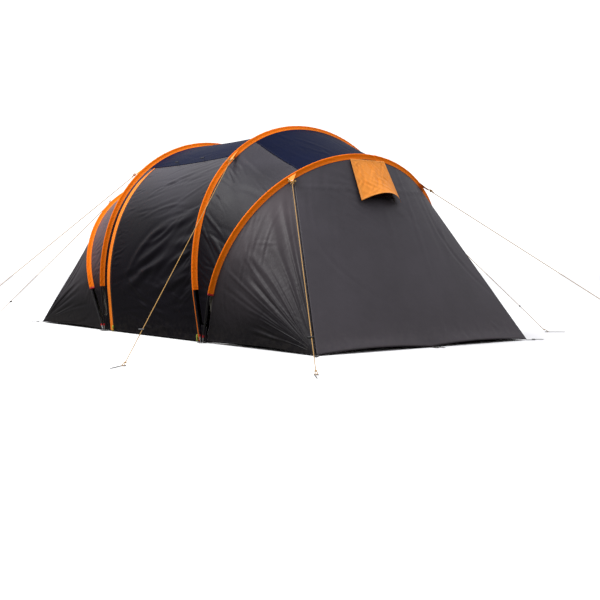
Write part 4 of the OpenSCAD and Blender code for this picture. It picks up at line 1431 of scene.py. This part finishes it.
@dataclass
class MiddleBay:
    """Roof, right side, door, zips and flaps between the two middle hoops."""

    sag: float = 0.016
    door_turn: float = 39.3711
    roof_turn: float = 39.0
    rear_zip: float = 0.112
    front_zip: float = 0.044
    zip_w: float = 0.012
    gap: float = 0.001
    flap_w: float = 0.058
    piping_w: float = 0.010

    def lines(self, q: Array) -> tuple[Array, Array]:
        """The two lines of sewing at stations."""
        return REAR_MID.skin(q, 1), FRONT_MID.skin(q, -1)

    def strip(self, q: Array, start: float, stop: float, columns: int, lift: Any = 0.0,
              folds: Sequence[Folds] = (), taper: Optional[Array] = None) -> tuple[Array, Array]:
        """Cloth between two distances across the bay, on the same sagging surface as its neighbours.

        Args:
            q: Stations.
            start: Distance from the rear line, or from the front line when negative.
            stop: As start, for the other edge.
            columns: Faces across.
            lift: Distance outward, one value or one for each column.
            folds: Creases.
            taper: Share of the width kept at each station.

        Returns:
            Grid of points and metric UV.
        """
        a, b = self.lines(q)
        wide = np.linalg.norm(b - a, axis=1)
        d0 = start if start >= 0 else wide + start
        d1 = stop if stop >= 0 else wide + stop
        k = np.linspace(0.0, 1.0, columns + 1)
        width = (d1 - d0) * (1.0 if taper is None else taper)
        d = np.broadcast_to(d0 if taper is None else d1 - width, wide.shape)[:, None] + \
            np.broadcast_to(width, wide.shape)[:, None] * k
        t = d / wide[:, None]
        p = a[:, None] + (b - a)[:, None] * t[..., None]
        uv = metric_uv(p)
        relief = creases(folds, uv) * smooth(seam_distance(uv), 0.0, 0.03)
        low = 4.0 * t * (1.0 - t) * self.sag * smooth(p[..., 2], 0.1, 0.9)
        p = p + normals(p) * (relief - low + lift)[..., None]
        p[..., 2] = np.maximum(p[..., 2], 0.003)
        return p, uv

    def build(self) -> None:
        """Make every piece of the bay.

        Args:
            g: The group's graph.
            given: The group's inputs.
            out: The group's outputs.
        """
        left = even_stations(FRONT_MID, -FOOT_Q, -self.door_turn, 0.013)
        roof = even_stations(FRONT_MID, -self.roof_turn, self.roof_turn, 0.014)
        right = even_stations(FRONT_MID, self.door_turn, FOOT_Q, 0.016)
        calm = Folds(11, 46, (0.0, 1.0), (0.0, 1.0), (0.0, 10.0), (0.12, 0.35), (0.012, 0.03), (0.0006, 0.0022))
        edge_pull = Folds(12, 60, (0.86, 1.0), (0.0, 1.0), (8.0, 12.0), (0.05, 0.14), (0.006, 0.013), (0.0006, 0.0022))
        p, uv = self.strip(roof, 0.0, -1e-9, 120, folds=[calm])
        panel("cloth_mid_roof", "mid_roof", DARK_ROOF_PAINTED_SKY_BLUE, p, uv)
        p, uv = self.strip(right, 0.0, -1e-9, 100, folds=[calm, edge_pull])
        panel("cloth_mid_side_right", "mid_side_right", CHARCOAL, p, uv)
        self.door(left)
        for name, start, stop, columns in (("rear", 0.0, self.rear_zip, 10), ("front", -self.front_zip, -1e-9, 5)):
            p, uv = self.strip(left, start, stop, columns)
            panel(f"cloth_door_strip_{name}", f"door_strip_{name}", CHARCOAL, p, uv)
        self.zips()
        self.flaps(left)

    def door(self, q: Array) -> None:
        """The side door, with the creases of a panel pulled between its zips.

        Args:
            q: Stations.
        """
        folds = [
            Folds(21, 22, (0.35, 1.0), (0.30, 0.62), (24.0, 6.0), (0.16, 0.40), (0.022, 0.045), (0.004, 0.0095)),
            Folds(22, 26, (0.25, 1.0), (0.62, 0.98), (15.0, 6.0), (0.10, 0.30), (0.010, 0.022), (0.0014, 0.0048)),
            Folds(23, 46, (0.0, 0.10), (0.25, 1.0), (10.0, 10.0), (0.04, 0.12), (0.006, 0.013), (0.001, 0.0036)),
            Folds(24, 46, (0.90, 1.0), (0.2, 1.0), (28.0, 10.0), (0.05, 0.16), (0.008, 0.016), (0.0014, 0.0044)),
            Folds(25, 26, (0.25, 1.0), (0.02, 0.30), (-12.0, 10.0), (0.10, 0.35), (0.012, 0.026), (0.0014, 0.0048)),
            Folds(26, 60, (0.1, 0.9), (0.0, 1.0), (20.0, 40.0), (0.03, 0.10), (0.005, 0.012), (0.0003, 0.0010)),
        ]
        p, uv = self.strip(q, self.rear_zip + self.zip_w + 2 * self.gap, -self.front_zip - self.zip_w - 2 * self.gap,
                           130, folds=folds)
        panel("cloth_side_door", "side_door", CHARCOAL, p, uv, body="side_door")

    def zips(self) -> None:
        """Zip tape with a raised coil along its middle: the lift is a half sine over the middle third."""
        made: list[Surface] = []
        for start in (self.rear_zip + self.gap, -self.front_zip - self.gap - self.zip_w):
            k = np.linspace(0.0, 1.0, 13)
            coil = np.where(np.abs(k - 0.5) < 0.2, np.cos((k - 0.5) / 0.4 * math.pi), 0.0) * 0.0016
            teeth = even_stations(FRONT_MID, -FOOT_Q, -self.door_turn, 0.004)
            comb = 1.0 + 0.35 * np.where(np.arange(len(teeth)) % 2 == 0, 1.0, -1.0)[:, None]
            made.append(Surface.grid(*self.strip(teeth, start, start + self.zip_w, 12,
                                                 lift=coil[None, :] * comb - 0.0008)))
        joined(made).piece("door_zip_coils", ZIP_TAPE, replaces=["door_zips"])

    def flaps(self, q: Array) -> None:
        """The orange flap beside the rear zip, and the narrow piping beside the front one.

        Args:
            q: Stations.
        """
        a, _ = self.lines(q)
        s = run_length(a)
        point = np.clip((s[-1] - s) / 0.22, 0.12, 1.0) ** 0.7
        wave = Folds(31, 60, (0.0, 1.0), (0.0, 1.0), (20.0, 30.0), (0.01, 0.03), (0.004, 0.009), (0.0004, 0.0012), 2.0)
        k = np.linspace(0.0, 1.0, 11)
        bulge = (0.0012 + 0.0022 * np.sin(math.pi * k) ** 0.6)[None, :]
        p, uv = self.strip(q, self.rear_zip - self.flap_w, self.rear_zip - self.gap, 10, bulge, [wave], point)
        p = p + normals(p) * (wave.relief(uv) * 0.6)[..., None]
        Surface.grid(p, uv, seam_distance(uv)).piece("cloth_zip_flap", PALE_ORANGE_FLAP, wall=SEWN_WALL,
                                                     replaces=["zip_flap_rear"])
        k = np.linspace(0.0, 1.0, 9)
        bulge = (0.0010 + 0.0028 * np.sin(math.pi * k) ** 0.7)[None, :]
        p, uv = self.strip(q, -self.front_zip + self.gap, -self.front_zip + self.gap + self.piping_w, 8, bulge)
        Surface.grid(p, uv).piece("cloth_zip_piping", ORANGE, wall=THIN_WALL, replaces=["zip_piping_front"])


@dataclass
class EndBay:
    """The bay outside a middle hoop, with its sloping wall, wings, vent and hood. side is 1 in front, -1 behind."""

    name: str
    side: int
    near: Hoop
    far: Hoop
    wall_x: float
    flank: Cloth
    seed: int
    bay_turn: float = 29.0
    wall_turn: float = 34.0
    seam_gap: float = 0.06
    wing_gap: float = 0.2
    wall_half: float = 1.151
    corner_half: float = 1.159
    edge: float = 0.06
    wall_fine: int = 6
    wall_columns: int = 20
    wall_rows: int = 14
    vent_columns: tuple[int, int] = (8, 12)
    vent_rows: tuple[int, int] = (1, 3)
    wall_sag: float = 0.020
    seam_z: float = 1.27
    scallop: float = 0.024
    wing_sag: float = 0.022
    hood_top: float = 0.012
    hood_wide: tuple[float, float] = (0.38, 0.44)
    hood_long: float = 0.4
    hood_rise: float = 0.104
    hood_clear: float = 0.006

    def build(self) -> None:
        """Make every piece of the bay.

        Args:
            g: The group's graph.
            given: The group's inputs.
            out: The group's outputs.
        """
        self.roof_and_sides()
        self.wall()
        self.wings()
        self.hood()

    def lines(self, q: Array) -> tuple[Array, Array]:
        """The two lines of sewing at stations, the one further back first.

        Args:
            q: Stations.

        Returns:
            The two lines of points.
        """
        if self.side > 0:
            return self.near.skin(q, 1), self.far.skin(q, -1)
        return self.far.skin(q, 1), self.near.skin(q, -1)

    def roof_and_sides(self) -> None:
        """Roof and both sides of the bay."""
        soft = Folds(self.seed, 26, (0.0, 1.0), (0.0, 1.0), (0.0, 12.0), (0.08, 0.25), (0.010, 0.024), (0.0006, 0.0024))
        q = even_stations(self.near, -self.bay_turn, self.bay_turn, 0.013)
        p, uv = stretched(*self.lines(q), 50, 0.010, [soft])
        panel(f"cloth_{self.name}_bay_roof", f"{self.name}_bay_roof", DARK_ROOF_PAINTED_SKY_BLUE, p, uv)
        for sign, label in ((-1.0, "left"), (1.0, "right")):
            q = np.sort(sign * even_stations(self.near, self.bay_turn + self.seam_gap, GUSSET_Q, 0.013))
            pulls = [
                Folds(self.seed + 1, 40, (0.0, 0.25), (0.0, 1.0), (6.0 * sign, 14.0), (0.05, 0.18), (0.007, 0.016),
                      (0.0008, 0.003)),
                Folds(self.seed + 2, 34, (0.75, 1.0), (0.0, 1.0), (-10.0 * sign, 14.0), (0.04, 0.15), (0.007, 0.015),
                      (0.0008, 0.003)),
                Folds(self.seed + 3, 16, (0.2, 0.8), (0.1, 0.9), (4.0, 16.0), (0.10, 0.30), (0.014, 0.03),
                      (0.001, 0.004)),
            ]
            p, uv = stretched(*self.lines(q), 60, 0.012, pulls)
            panel(f"cloth_{self.name}_bay_{label}", f"{self.name}_bay_sides", self.flank, p, uv)

    def wall_lines(self) -> tuple[Array, Array]:
        """The end wall's upper line, under the outer hoop, and its lower line along the ground.

        Returns:
            The upper line and the lower line.
        """
        q = np.linspace(-self.wall_turn, self.wall_turn, self.wall_columns * self.wall_fine + 1)
        base = np.stack([np.full(q.shape, self.wall_x), np.linspace(-self.wall_half, self.wall_half, len(q)),
                         np.full(q.shape, HEM_Z)], 1)
        return self.far.skin(q, self.side), base

    def wall(self) -> None:
        """The sloping end wall, sagging a little, with its scalloped hem and the hole for the vent."""
        fine, rows = self.wall_fine, self.wall_rows
        top, base = self.wall_lines()
        a, b = (top, base) if self.side > 0 else (base, top)
        t = np.linspace(0.0, 1.0, rows * fine + 1)
        p = a[:, None] + (b - a)[:, None] * t[None, :, None]
        uv = metric_uv(p)
        down = t if self.side > 0 else 1.0 - t
        v = uv[..., 1] / uv[..., 1].max()
        lean = 62.0 * self.side
        high, low = ((0.0, 0.35), (0.88, 1.0)) if self.side > 0 else ((0.65, 1.0), (0.0, 0.12))
        folds = [
            Folds(self.seed + 4, 12, (0.05, 0.5), (0.05, 0.95), (0.0, 16.0), (0.3, 0.8), (0.02, 0.05), (0.001, 0.004)),
            Folds(self.seed + 5, 30, high, (0.25, 0.45), (lean, 14.0), (0.06, 0.2), (0.007, 0.015), (0.0008, 0.0026)),
            Folds(self.seed + 6, 30, high, (0.55, 0.75), (-lean, 14.0), (0.06, 0.2), (0.007, 0.015), (0.0008, 0.0026)),
            Folds(self.seed + 7, 40, low, (0.0, 1.0), (0.0, 16.0), (0.03, 0.09), (0.01, 0.02), (0.001, 0.003)),
        ]
        relief = creases(folds, uv)
        side_fade = smooth(np.minimum(v, 1.0 - v), 0.0, 0.03)
        top_fade = smooth(down, 0.0, 0.03)[None, :]
        seam = 0.0050 * np.exp(-(((p[..., 2] - self.seam_z) / 0.007) ** 2))
        sag = self.wall_sag * np.sin(math.pi * down)[None, :] * np.sin(math.pi * v)
        p = p + normals(p) * ((relief * top_fade + seam) * side_fade - sag)[..., None]
        peg_bays = 2
        lift = np.sin(math.pi * ((v * peg_bays) % 1.0)) ** 0.8 * smooth(down, 0.9, 1.0)[None, :] ** 2
        p[..., 2] = np.maximum(p[..., 2] + self.scallop * lift, LOWEST)
        first, last = self.vent_rows if self.side > 0 else (rows - self.vent_rows[1], rows - self.vent_rows[0])
        panel(f"cloth_{self.name}_wall", f"{self.name}_wall", GREY, p, uv,
              hole=(self.vent_columns[0] * fine, self.vent_columns[1] * fine, first * fine, last * fine))

    def wings(self) -> None:
        """The triangles beside the wall, with creases that run from the pegged corner up to the hoop."""
        for sign, label in ((-1.0, "left"), (1.0, "right")):
            q = -even_stations(self.far, self.wall_turn + self.wing_gap, FOOT_Q, 0.013)[::-1]
            hoop_line = self.far.skin(q, self.side)
            corner = np.array([self.wall_x - 0.003 * self.side, -self.corner_half, HEM_Z])
            k = np.linspace(0.0, 1.0, len(q))
            edge = corner + unit(hoop_line[-1] - corner) * self.edge * k[:, None]
            columns = 84
            t = np.linspace(0.0, 1.0, columns + 1)
            p = hoop_line[:, None] + (edge - hoop_line)[:, None] * t[None, :, None]
            if self.side < 0:
                p = p[:, ::-1]
                t = t[::-1]
            uv = metric_uv(p)
            relief = self.rays(k, t, self.seed + (7 if sign > 0 else 8))
            near_hoop = Folds(self.seed + 9, 30, (0.0, 0.22) if self.side > 0 else (0.78, 1.0), (0.1, 0.8),
                              (-36.0 * self.side, 14.0), (0.05, 0.18), (0.007, 0.016), (0.001, 0.0036))
            loose = Folds(self.seed + 10, 40, (0.2, 0.9), (0.1, 0.95), (40.0 * self.side, 30.0), (0.04, 0.12),
                          (0.005, 0.012), (0.0005, 0.0018))
            fade = np.minimum(smooth(k, 0.0, 0.04), 1.0 - smooth(k, 0.96, 1.0))[:, None] * \
                np.minimum(smooth(t, 0.0, 0.03), 1.0 - smooth(t, 0.9, 1.0))[None, :]
            sag = np.sin(math.pi * k)[:, None] * np.sin(math.pi * t)[None, :] * smooth(p[..., 2], 0.1, 0.7)
            sag = self.wing_sag * sag
            p = p + normals(p) * ((relief + creases([near_hoop, loose], uv)) * fade - sag)[..., None]
            lift = 0.018 * np.sin(math.pi * t)[None, :] * (1.0 - smooth(k, 0.0, 0.05))[:, None]
            p[..., 2] = np.maximum(p[..., 2] + lift, LOWEST)
            if sign > 0:
                p = p * MIRROR_Y
            surface = Surface.grid(p, uv, seam_distance(uv), flip=sign > 0)
            sheet_piece(surface, cut_size(uv), "stretched", name=f"cloth_{self.name}_wing_{label}", finish=WING,
                        wall=WALL, replaces=[f"{self.name}_wings"])

    def rays(self, k: Array, t: Array, seed: int) -> Array:
        """Creases that fan out from the corner: each stays near one share of the hoop line and narrows to it.

        Args:
            k: Share of the way along the hoop line.
            t: Share of the way from the hoop line to the corner.
            seed: Seed of the draws.

        Returns:
            Height in metres.
        """
        rng = np.random.default_rng(seed)
        total = np.zeros((len(k), len(t)))
        for _ in range(26):
            centre, wide = rng.uniform(0.12, 0.97), rng.uniform(0.008, 0.026)
            start, stop = rng.uniform(0.0, 0.45), rng.uniform(0.6, 1.0)
            bend = rng.normal(0.0, 0.05) * np.sin(math.pi * t)
            r = (k[:, None] - centre - bend[None, :]) / (wide * (0.6 + 0.8 * (1.0 - t)))[None, :]
            high = rng.uniform(0.0014, 0.0046) * rng.choice([-1.0, 1.0], p=[0.35, 0.65])
            gate = smooth(t, start, start + 0.15) * (1.0 - smooth(t, stop - 0.12, stop + 0.02))
            total += high * (1.0 - r * r) * np.exp(-0.5 * r * r) * gate[None, :]
        return total

    def slope(self) -> tuple[Array, Array, Array]:
        """Top of the wall in the middle, the way down the wall and its outward normal.

        Returns:
            The top point and the two directions.
        """
        top = self.far.skin(np.array([0.0]), self.side)[0]
        down = unit(np.array([self.wall_x, 0.0, HEM_Z]) - top)
        return top, down, np.array([-down[2] * self.side, 0.0, down[0] * self.side])

    def hood(self) -> None:
        """The vent's hood: an arched sheet that stands off the wall at its lower edge, hemmed all round."""
        top, down, out = self.slope()
        top = top + down * self.hood_top
        a, b = np.meshgrid(np.linspace(-1.0, 1.0, 73), np.linspace(0.0, 1.0, 57), indexing="ij")
        wide = (self.hood_wide[0] + (self.hood_wide[1] - self.hood_wide[0]) * b) / 2.0
        off = self.hood_clear + (1.0 - a * a) * self.hood_rise * b ** 1.4
        run = self.hood_long * b * (1.0 - 0.06 * (1.0 - a * a) * b)
        p = top + (a * wide)[..., None] * ACROSS + run[..., None] * down + off[..., None] * out
        uv = metric_uv(p)
        long, narrow, high = (0.05, 0.14), (0.007, 0.015), (0.001, 0.0034)
        folds = [
            Folds(self.seed + 11, 26, (0.1, 0.95), (0.0, 1.0), (34.0, 16.0), long, narrow, high),
            Folds(self.seed + 12, 26, (0.1, 0.95), (0.0, 1.0), (-34.0, 16.0), long, narrow, high),
            Folds(self.seed + 13, 30, (0.0, 0.16), (0.0, 1.0), (0.0, 10.0), (0.03, 0.07), (0.004, 0.009),
                  (0.0006, 0.0018)),
        ]
        near = seam_distance(uv)
        relief = creases(folds, uv) * smooth(near, 0.0, 0.03)
        hem = 0.0012 * (1.0 - smooth(near, 0.011, 0.014))
        p = p + normals(p) * float(self.side) * (relief + hem)[..., None]
        surface = Surface.grid(p, uv, near, flip=self.side < 0)
        node = f"{self.name}_vent_hood"
        sheet_piece(surface, cut_size(uv), "stretched", name=f"cloth_{self.name}_hood", finish=PALE_ORANGE,
                    wall=SEWN_WALL, body=node, replaces=[node])
        self.frame_tape(out)

    def frame_tape(self, out: Array) -> None:
        """Tape sewn round the vent's hole, on the wall: a flat strip carried round the rectangle.

        Args:
            out: Outward normal of the wall.
        """
        line, base = self.wall_lines()
        i0, i1 = (self.wall_fine * k for k in self.vent_columns)
        j0, j1 = (self.wall_fine * k for k in self.vent_rows)
        i = np.concatenate([np.arange(i0, i1), np.full(j1 - j0, i1), np.arange(i1, i0, -1), np.full(j1 - j0, i0)])
        j = np.concatenate([np.full(i1 - i0, j0), np.arange(j0, j1), np.full(i1 - i0, j1), np.arange(j1, j0, -1)])
        down = j / float(self.wall_rows * self.wall_fine)
        share = i / float(self.wall_columns * self.wall_fine)
        rim = line[i] + (base[i] - line[i]) * down[:, None]
        rim = rim - out * (self.wall_sag * np.sin(math.pi * down) * np.sin(math.pi * share))[:, None]
        centre = rim.mean(0)
        spread = unit(rim - centre)
        k = np.linspace(-0.002, 0.016, 6)
        p = rim[:, None] + spread[:, None] * k[None, :, None] + out * (0.0022 + 0.0 * k)[None, :, None]
        surface = Surface.grid(p, round_i=True)
        n = np.cross(p[0, 1] - p[0, 0], p[1, 0] - p[0, 0])
        if float(n @ out) < 0:
            surface = surface.turned()
        surface.piece(f"vent_tape_{self.name}", WEBBING, wall=WALL)


@dataclass
class Feet:
    """Gussets between the poles at each foot, and the webbing that takes the poles' pins."""

    half_span: float = 1.2
    foot_gap: float = 0.03
    gusset_h: float = 0.14
    pin_hole: float = 0.0055
    strap_half: float = 0.038
    strap_long: float = 0.054
    leg_lean: float = 6.5
    gusset_spare: float = 0.020
    gusset_swell: float = 0.0035

    def places(self) -> list[tuple[float, float]]:
        """Middle of each foot along the tent, and its side."""
        return [(x, side) for x in (0.97, -0.82) for side in (-1.0, 1.0)]

    def build(self) -> None:
        """Make gussets, webbing and eyelets.

        Args:
            g: The group's graph.
            given: The group's inputs.
            out: The group's outputs.
        """
        y, _ = FRONT_MID.plane(np.array([FOOT_Q]), 0.028)
        foot = float(y[0])
        lean = math.radians(self.leg_lean)
        gussets: list[Surface] = []
        straps: list[Surface] = []
        rings: list[Surface] = []
        wide = self.foot_gap + 2.0 * self.gusset_spare
        for x, side in self.places():
            u, v = np.meshgrid(np.linspace(-0.5, 0.5, 22), np.linspace(0.0, 1.0, 32), indexing="ij")
            swell = self.gusset_swell * np.cos(math.pi * u) * np.sin(math.pi * v) \
                + 0.001 * np.sin(u * 40.0) * (1.0 - v)
            local_y = 0.0025 - swell
            local_z = 0.002 + self.gusset_h * v
            p = np.stack([x + u * wide, -foot + local_y * math.cos(lean) - local_z * math.sin(lean),
                          HEM_Z + local_y * math.sin(lean) + local_z * math.cos(lean)], 2)
            part = Surface.grid(p, metric_uv(p), seam_distance(metric_uv(p)), flip=True)
            gussets.append(part.mirrored() if side > 0 else part)
            plate, eyelets = self.webbing(x, foot, side)
            straps.append(plate)
            rings.append(eyelets)
        joined(gussets).piece("cloth_foot_gussets", CHARCOAL, wall=WALL, replaces=["foot_gussets"])
        joined(straps).piece("foot_webbing_straps", WEBBING, wall=WEBBING_WALL, replaces=["foot_webbing"])
        joined(rings).piece("foot_eyelets", METAL)

    def webbing(self, x: float, foot: float, side: float) -> tuple[Surface, Surface]:
        """One strap in two halves, each with a pin hole, and the eyelets in the holes.

        Args:
            x: Middle of the foot along the tent.
            foot: Distance from the tent's middle to the gusset.
            side: 1 on the right, -1 on the left.

        Returns:
            The strap and its eyelets.
        """
        pin_y = foot - self.half_span
        plates: list[Surface] = []
        rings: list[Surface] = []
        for sign in (-1.0, 1.0):
            low, high = sorted((0.0, sign * self.strap_half))
            near, far = -0.001, -self.strap_long
            outline = np.array([[low, far], [high, far], [high, near], [low, near]])
            hole = np.array([sign * self.foot_gap / 2.0, pin_y])
            plate = ring_plate(outline, hole, disc(self.pin_hole) + hole, rings=6, rays=64)
            plate.points[:, 2] = WEBBING_TOP
            plates.append(plate)
            middle = np.array([*hole, WEBBING_TOP + 0.0002])
            rings.append(torus(self.pin_hole + 0.001, 0.0013).mapped(lambda p: p + middle))
        shift = np.array([x, -foot, 0.0])
        strap, eyelets = (joined(part).mapped(lambda p: p + shift) for part in (plates, rings))
        return (strap.mirrored(), eyelets.mirrored()) if side > 0 else (strap, eyelets)


@dataclass
class HemLoops:
    """Webbing loops for the pegs at the corners and middles of both end walls."""

    wide: float = 0.025
    long: float = 0.07
    front: float = 2.432
    half: float = 1.15

    def build(self) -> None:
        """Make the six loops and their eyelets.

        Args:
            g: The group's graph.
            given: The group's inputs.
            out: The group's outputs.
        """
        plates: list[Surface] = []
        rings: list[Surface] = []
        near, far, half = 0.003, 0.003 + self.long, self.wide / 2
        outline = np.array([[near, -half], [far, -half], [far, half], [near, half]])
        hole = np.array([self.long - 0.012, 0.0])
        for end in (1.0, -1.0):
            for dx, dy, turn in ((0.0, 0.0, 0.0), (-0.004, self.half, 45.0), (-0.004, -self.half, -45.0)):
                w = math.radians(turn)
                spin = np.array([[math.cos(w), math.sin(w), 0], [-math.sin(w), math.cos(w), 0], [0, 0, 1]])
                shift = np.array([self.front + dx, dy, 0.0])

                def put(p: Array) -> Array:
                    """From the loop's own place to the tent."""
                    return (p @ spin + shift) * np.array([end, 1.0, 1.0])

                plate = ring_plate(outline, hole, disc(0.006) + hole, rings=8)
                plate.points[:, 2] = WEBBING_TOP + 0.0003 * np.sin(plate.points[:, 0] * 300.0)
                middle = np.array([*hole, WEBBING_TOP + 0.0001])
                eyelet = torus(0.0066, 0.0011).mapped(lambda p: p + middle)
                plates.append(plate.mapped(put, end < 0))
                rings.append(eyelet.mapped(put, end < 0))
        joined(plates).piece("hem_loop_webbing", WEBBING, wall=WEBBING_WALL, replaces=["hem_loops"])
        joined(rings).piece("hem_loop_eyelets", METAL)


@dataclass
class Cabins:
    """Inner sleeping cabins: tunnels, sloping ends, curtains with doorways, rolled doors and groundsheets."""

    inset: float = 0.112
    floor_z: float = 0.008
    half: float = 1.05
    back: float = 0.19
    cabin_q: float = 105.5
    door_w: float = 0.9
    door_h: float = 1.35
    door_sill: float = 0.12
    end_slack: float = 0.01
    tunnel_along: float = 0.04
    end_along: float = 0.004
    floors_x: tuple[float, float, float] = (0.99, 2.25, 0.84)
    curtain_along: float = 0.036
    curtain_wall: float = 0.0025
    roll_d: float = 0.08
    roll_r: float = 0.0385
    roll_low: float = 0.134
    roll_short: float = 0.158
    ties: tuple[float, float] = (0.45, 1.05)
    tie_pinch: float = 0.22

    def build(self) -> None:
        """Make both cabins.

        Args:
            g: The group's graph.
            given: The group's inputs.
            out: The group's outputs.
        """
        self.cabin("front", 1, FRONT_MID, FRONT_END, WALL_FOOT, 71)
        self.cabin("rear", -1, REAR_MID, REAR_END, -WALL_FOOT, 81)
        self.curtains()
        self.rolls()
        self.floors()

    def line(self, hoop: Hoop, q: Array, inset: float, along: float) -> Array:
        """A line round the inside of a hoop, not under the groundsheet.

        Args:
            hoop: The hoop.
            q: Stations.
            inset: Distance inward.
            along: Distance from the hoop's plane.

        Returns:
            The line of points.
        """
        p = hoop.point(q, inset, along)
        p[..., 2] = np.maximum(p[..., 2], self.floor_z)
        return p

    def cabin(self, name: str, side: int, near: Hoop, far: Hoop, wall_x: float, seed: int) -> None:
        """Tunnel and sloping end of one cabin.

        Args:
            name: front or rear.
            side: 1 in front, -1 behind.
            near: The middle hoop.
            far: The outer hoop.
            wall_x: The end wall's foot.
            seed: Seed of the creases.
        """
        q = even_stations(far, -self.cabin_q, self.cabin_q, 0.03)
        a = self.line(near, q, self.inset, side * self.tunnel_along)
        b = self.line(far, q, self.inset + self.end_slack, 0.0)
        c = self.line(far, q, self.inset + self.end_slack, side * self.end_along)
        base = np.stack([np.full(q.shape, wall_x - side * self.back), np.linspace(-self.half, self.half, len(q)),
                         np.full(q.shape, self.floor_z)], 1)
        soft = [Folds(seed, 60, (0.0, 1.0), (0.0, 1.0), (0.0, 14.0), (0.1, 0.35), (0.03, 0.06), (0.003, 0.008))]
        for label, first, last, columns in (("tunnel", a, b, 20), ("end", c, base, 40)):
            if side < 0:
                first, last = last, first
            p, uv = stretched(first, last, columns, 0.012, soft, fade=0.06)
            p[..., 2] = np.maximum(p[..., 2], self.floor_z - 0.001)
            panel(f"cabin_{name}_{label}", f"{name}_cabin", CABIN, p, uv, held="hung")

    def curtains(self) -> None:
        """Curtains across the middle hoops, each with a doorway."""
        q = np.linspace(-self.cabin_q, self.cabin_q, 90)
        for name, hoop, side in (("front", FRONT_MID, 1), ("rear", REAR_MID, -1)):
            y, z = hoop.plane(q, self.inset + 0.004)
            outline = np.stack([y, np.maximum(z, 0.009)], 1)[::-1]
            half, sill = self.door_w / 2, self.door_sill
            door = np.array([[-half, sill], [half, sill], [half, self.door_h], [-half, self.door_h]])
            plate = ring_plate(outline, np.array([0.0, 0.7]), door, rings=26, rays=260)
            flat = plate.points
            hang = 0.003 * np.sin(flat[:, 0] * 34.0 + np.sin(flat[:, 1] * 3.0)) * smooth(plate.edge, 0.0, 0.06)
            p = hoop.place(flat[:, 0], flat[:, 1], side * self.curtain_along + hang)
            made = Surface(p, plate.quads, plate.uv, plate.edge)
            flat_size = (float(np.ptp(flat[:, 0])) * 1.01, float(np.ptp(flat[:, 1])) * 1.01)
            sheet_piece(made, flat_size, "hung", name=f"cabin_{name}_curtain", finish=CABIN, wall=THIN_WALL,
                        replaces=["cabin_curtains"])

    def rolls(self) -> None:
        """Doors rolled up and tied: a spiral of cloth carried up, pinched at two ties."""
        made: list[Surface] = []
        ties: list[Surface] = []
        for hoop, side in ((FRONT_MID, 1), (REAR_MID, -1)):
            along = side * (self.curtain_along - self.curtain_wall - self.roll_d / 2)
            beside = self.door_w / 2 + self.roll_d / 2
            z = np.linspace(self.roll_low, self.roll_low + self.door_h - self.roll_short, 90)
            w = np.linspace(0.0, FULL_TURN, 48, endpoint=False)
            pinch = 1.0 - self.tie_pinch * sum(np.exp(-(((z - up) / 0.03) ** 2)) for up in self.ties)
            ends = np.ones(len(z))
            ends[[0, -1]] = 0.05
            spiral = 0.90 + 0.10 * (w / (FULL_TURN))
            ripple = 1.0 + 0.03 * np.sin(5.0 * w[None, :] + 9.0 * z[:, None]) * np.sin(31.0 * z)[:, None]
            r = self.roll_r * spiral[None, :] * (pinch * ends)[:, None] * ripple
            zz = np.broadcast_to(z[:, None], r.shape)
            p = hoop.place(beside + r * np.sin(w), zz, along + r * np.cos(w))
            uv = np.stack([np.broadcast_to(w * 0.038, r.shape), zz], 2)
            made.append(Surface.grid(p, uv, round_j=True, flip=True))
            for up in self.ties:
                axis = hoop.place(beside, up, along)
                ties.append(torus(0.031, 0.0025).mapped(lambda p: p + axis))
        joined(made).piece("cabin_rolled_doors", CABIN, replaces=["cabin_door_rolls"])
        joined(ties).piece("cabin_roll_ties", BLACK_CORD)

    def floors(self) -> None:
        """Groundsheets, with low ripples on top of flat ground."""
        front, end, rear = self.floors_x
        for name, start, stop in (("front", front, end), ("rear", -end, -rear)):
            x, y = np.meshgrid(np.linspace(start, stop, 60), np.linspace(-self.half, self.half, 90), indexing="ij")
            z = 0.0022 + 0.0007 * np.sin(9.0 * x + 2.0 * np.sin(5.0 * y)) * np.sin(7.0 * y)
            p = np.stack([x, y, z], 2)
            uv = np.stack([x - start, y + self.half], 2)
            surface = Surface.grid(p, uv, seam_distance(uv), flip=True)
            flat = (1.005 * (stop - start), 1.005 * 2 * self.half)
            sheet_piece(surface, flat, "laid", name=f"groundsheet_{name}", finish=FLOOR, wall=THIN_WALL,
                        replaces=["groundsheets"])


class Hardware:
    """Finishes of the hard CAD parts that stay."""

    def build(self) -> None:
        """Dress poles, tips, caps, sliders, toggles, nets, props, pegs and runners.

        Args:
            g: The group's graph.
            given: The group's inputs.
            out: The group's outputs.
        """
        POLE.wear_node(*(f"pole_{hoop.name}" for hoop in HOOPS))
        METAL.wear_node("pole_tips")
        RED_CAP.wear_node("pole_caps")
        SLIDER.wear_node("zip_slider_rear", "zip_slider_front")
        NET.wear_node("vent_meshes")
        TRIM.wear_node("door_toggles", "front_vent_prop", "rear_vent_prop", *(f"runner_{guy.name}" for guy in GUYS))
        PEG.wear_node("hem_pegs")
        GUY_PEG.wear_node("guy_pegs")


def main() -> None:
    """Build the camera, the cords and then every sub-assembly, and report each."""
    logging.basicConfig(level=logging.INFO, format="%(message)s")
    parts = (Studio(), GuyLines(), Sleeves(), MiddleBay(),
             EndBay("front", 1, FRONT_MID, FRONT_END, WALL_FOOT, CHARCOAL, 300),
             EndBay("rear", -1, REAR_MID, REAR_END, -WALL_FOOT, DARK_SIDE_PAINTED_MAUVE_SHEEN, 400),
             Feet(), HemLoops(), Cabins(), Hardware())
    for part in parts:
        part.build()
        log.info("built %s", type(part).__name__)


if __name__ == "__main__":
    main()
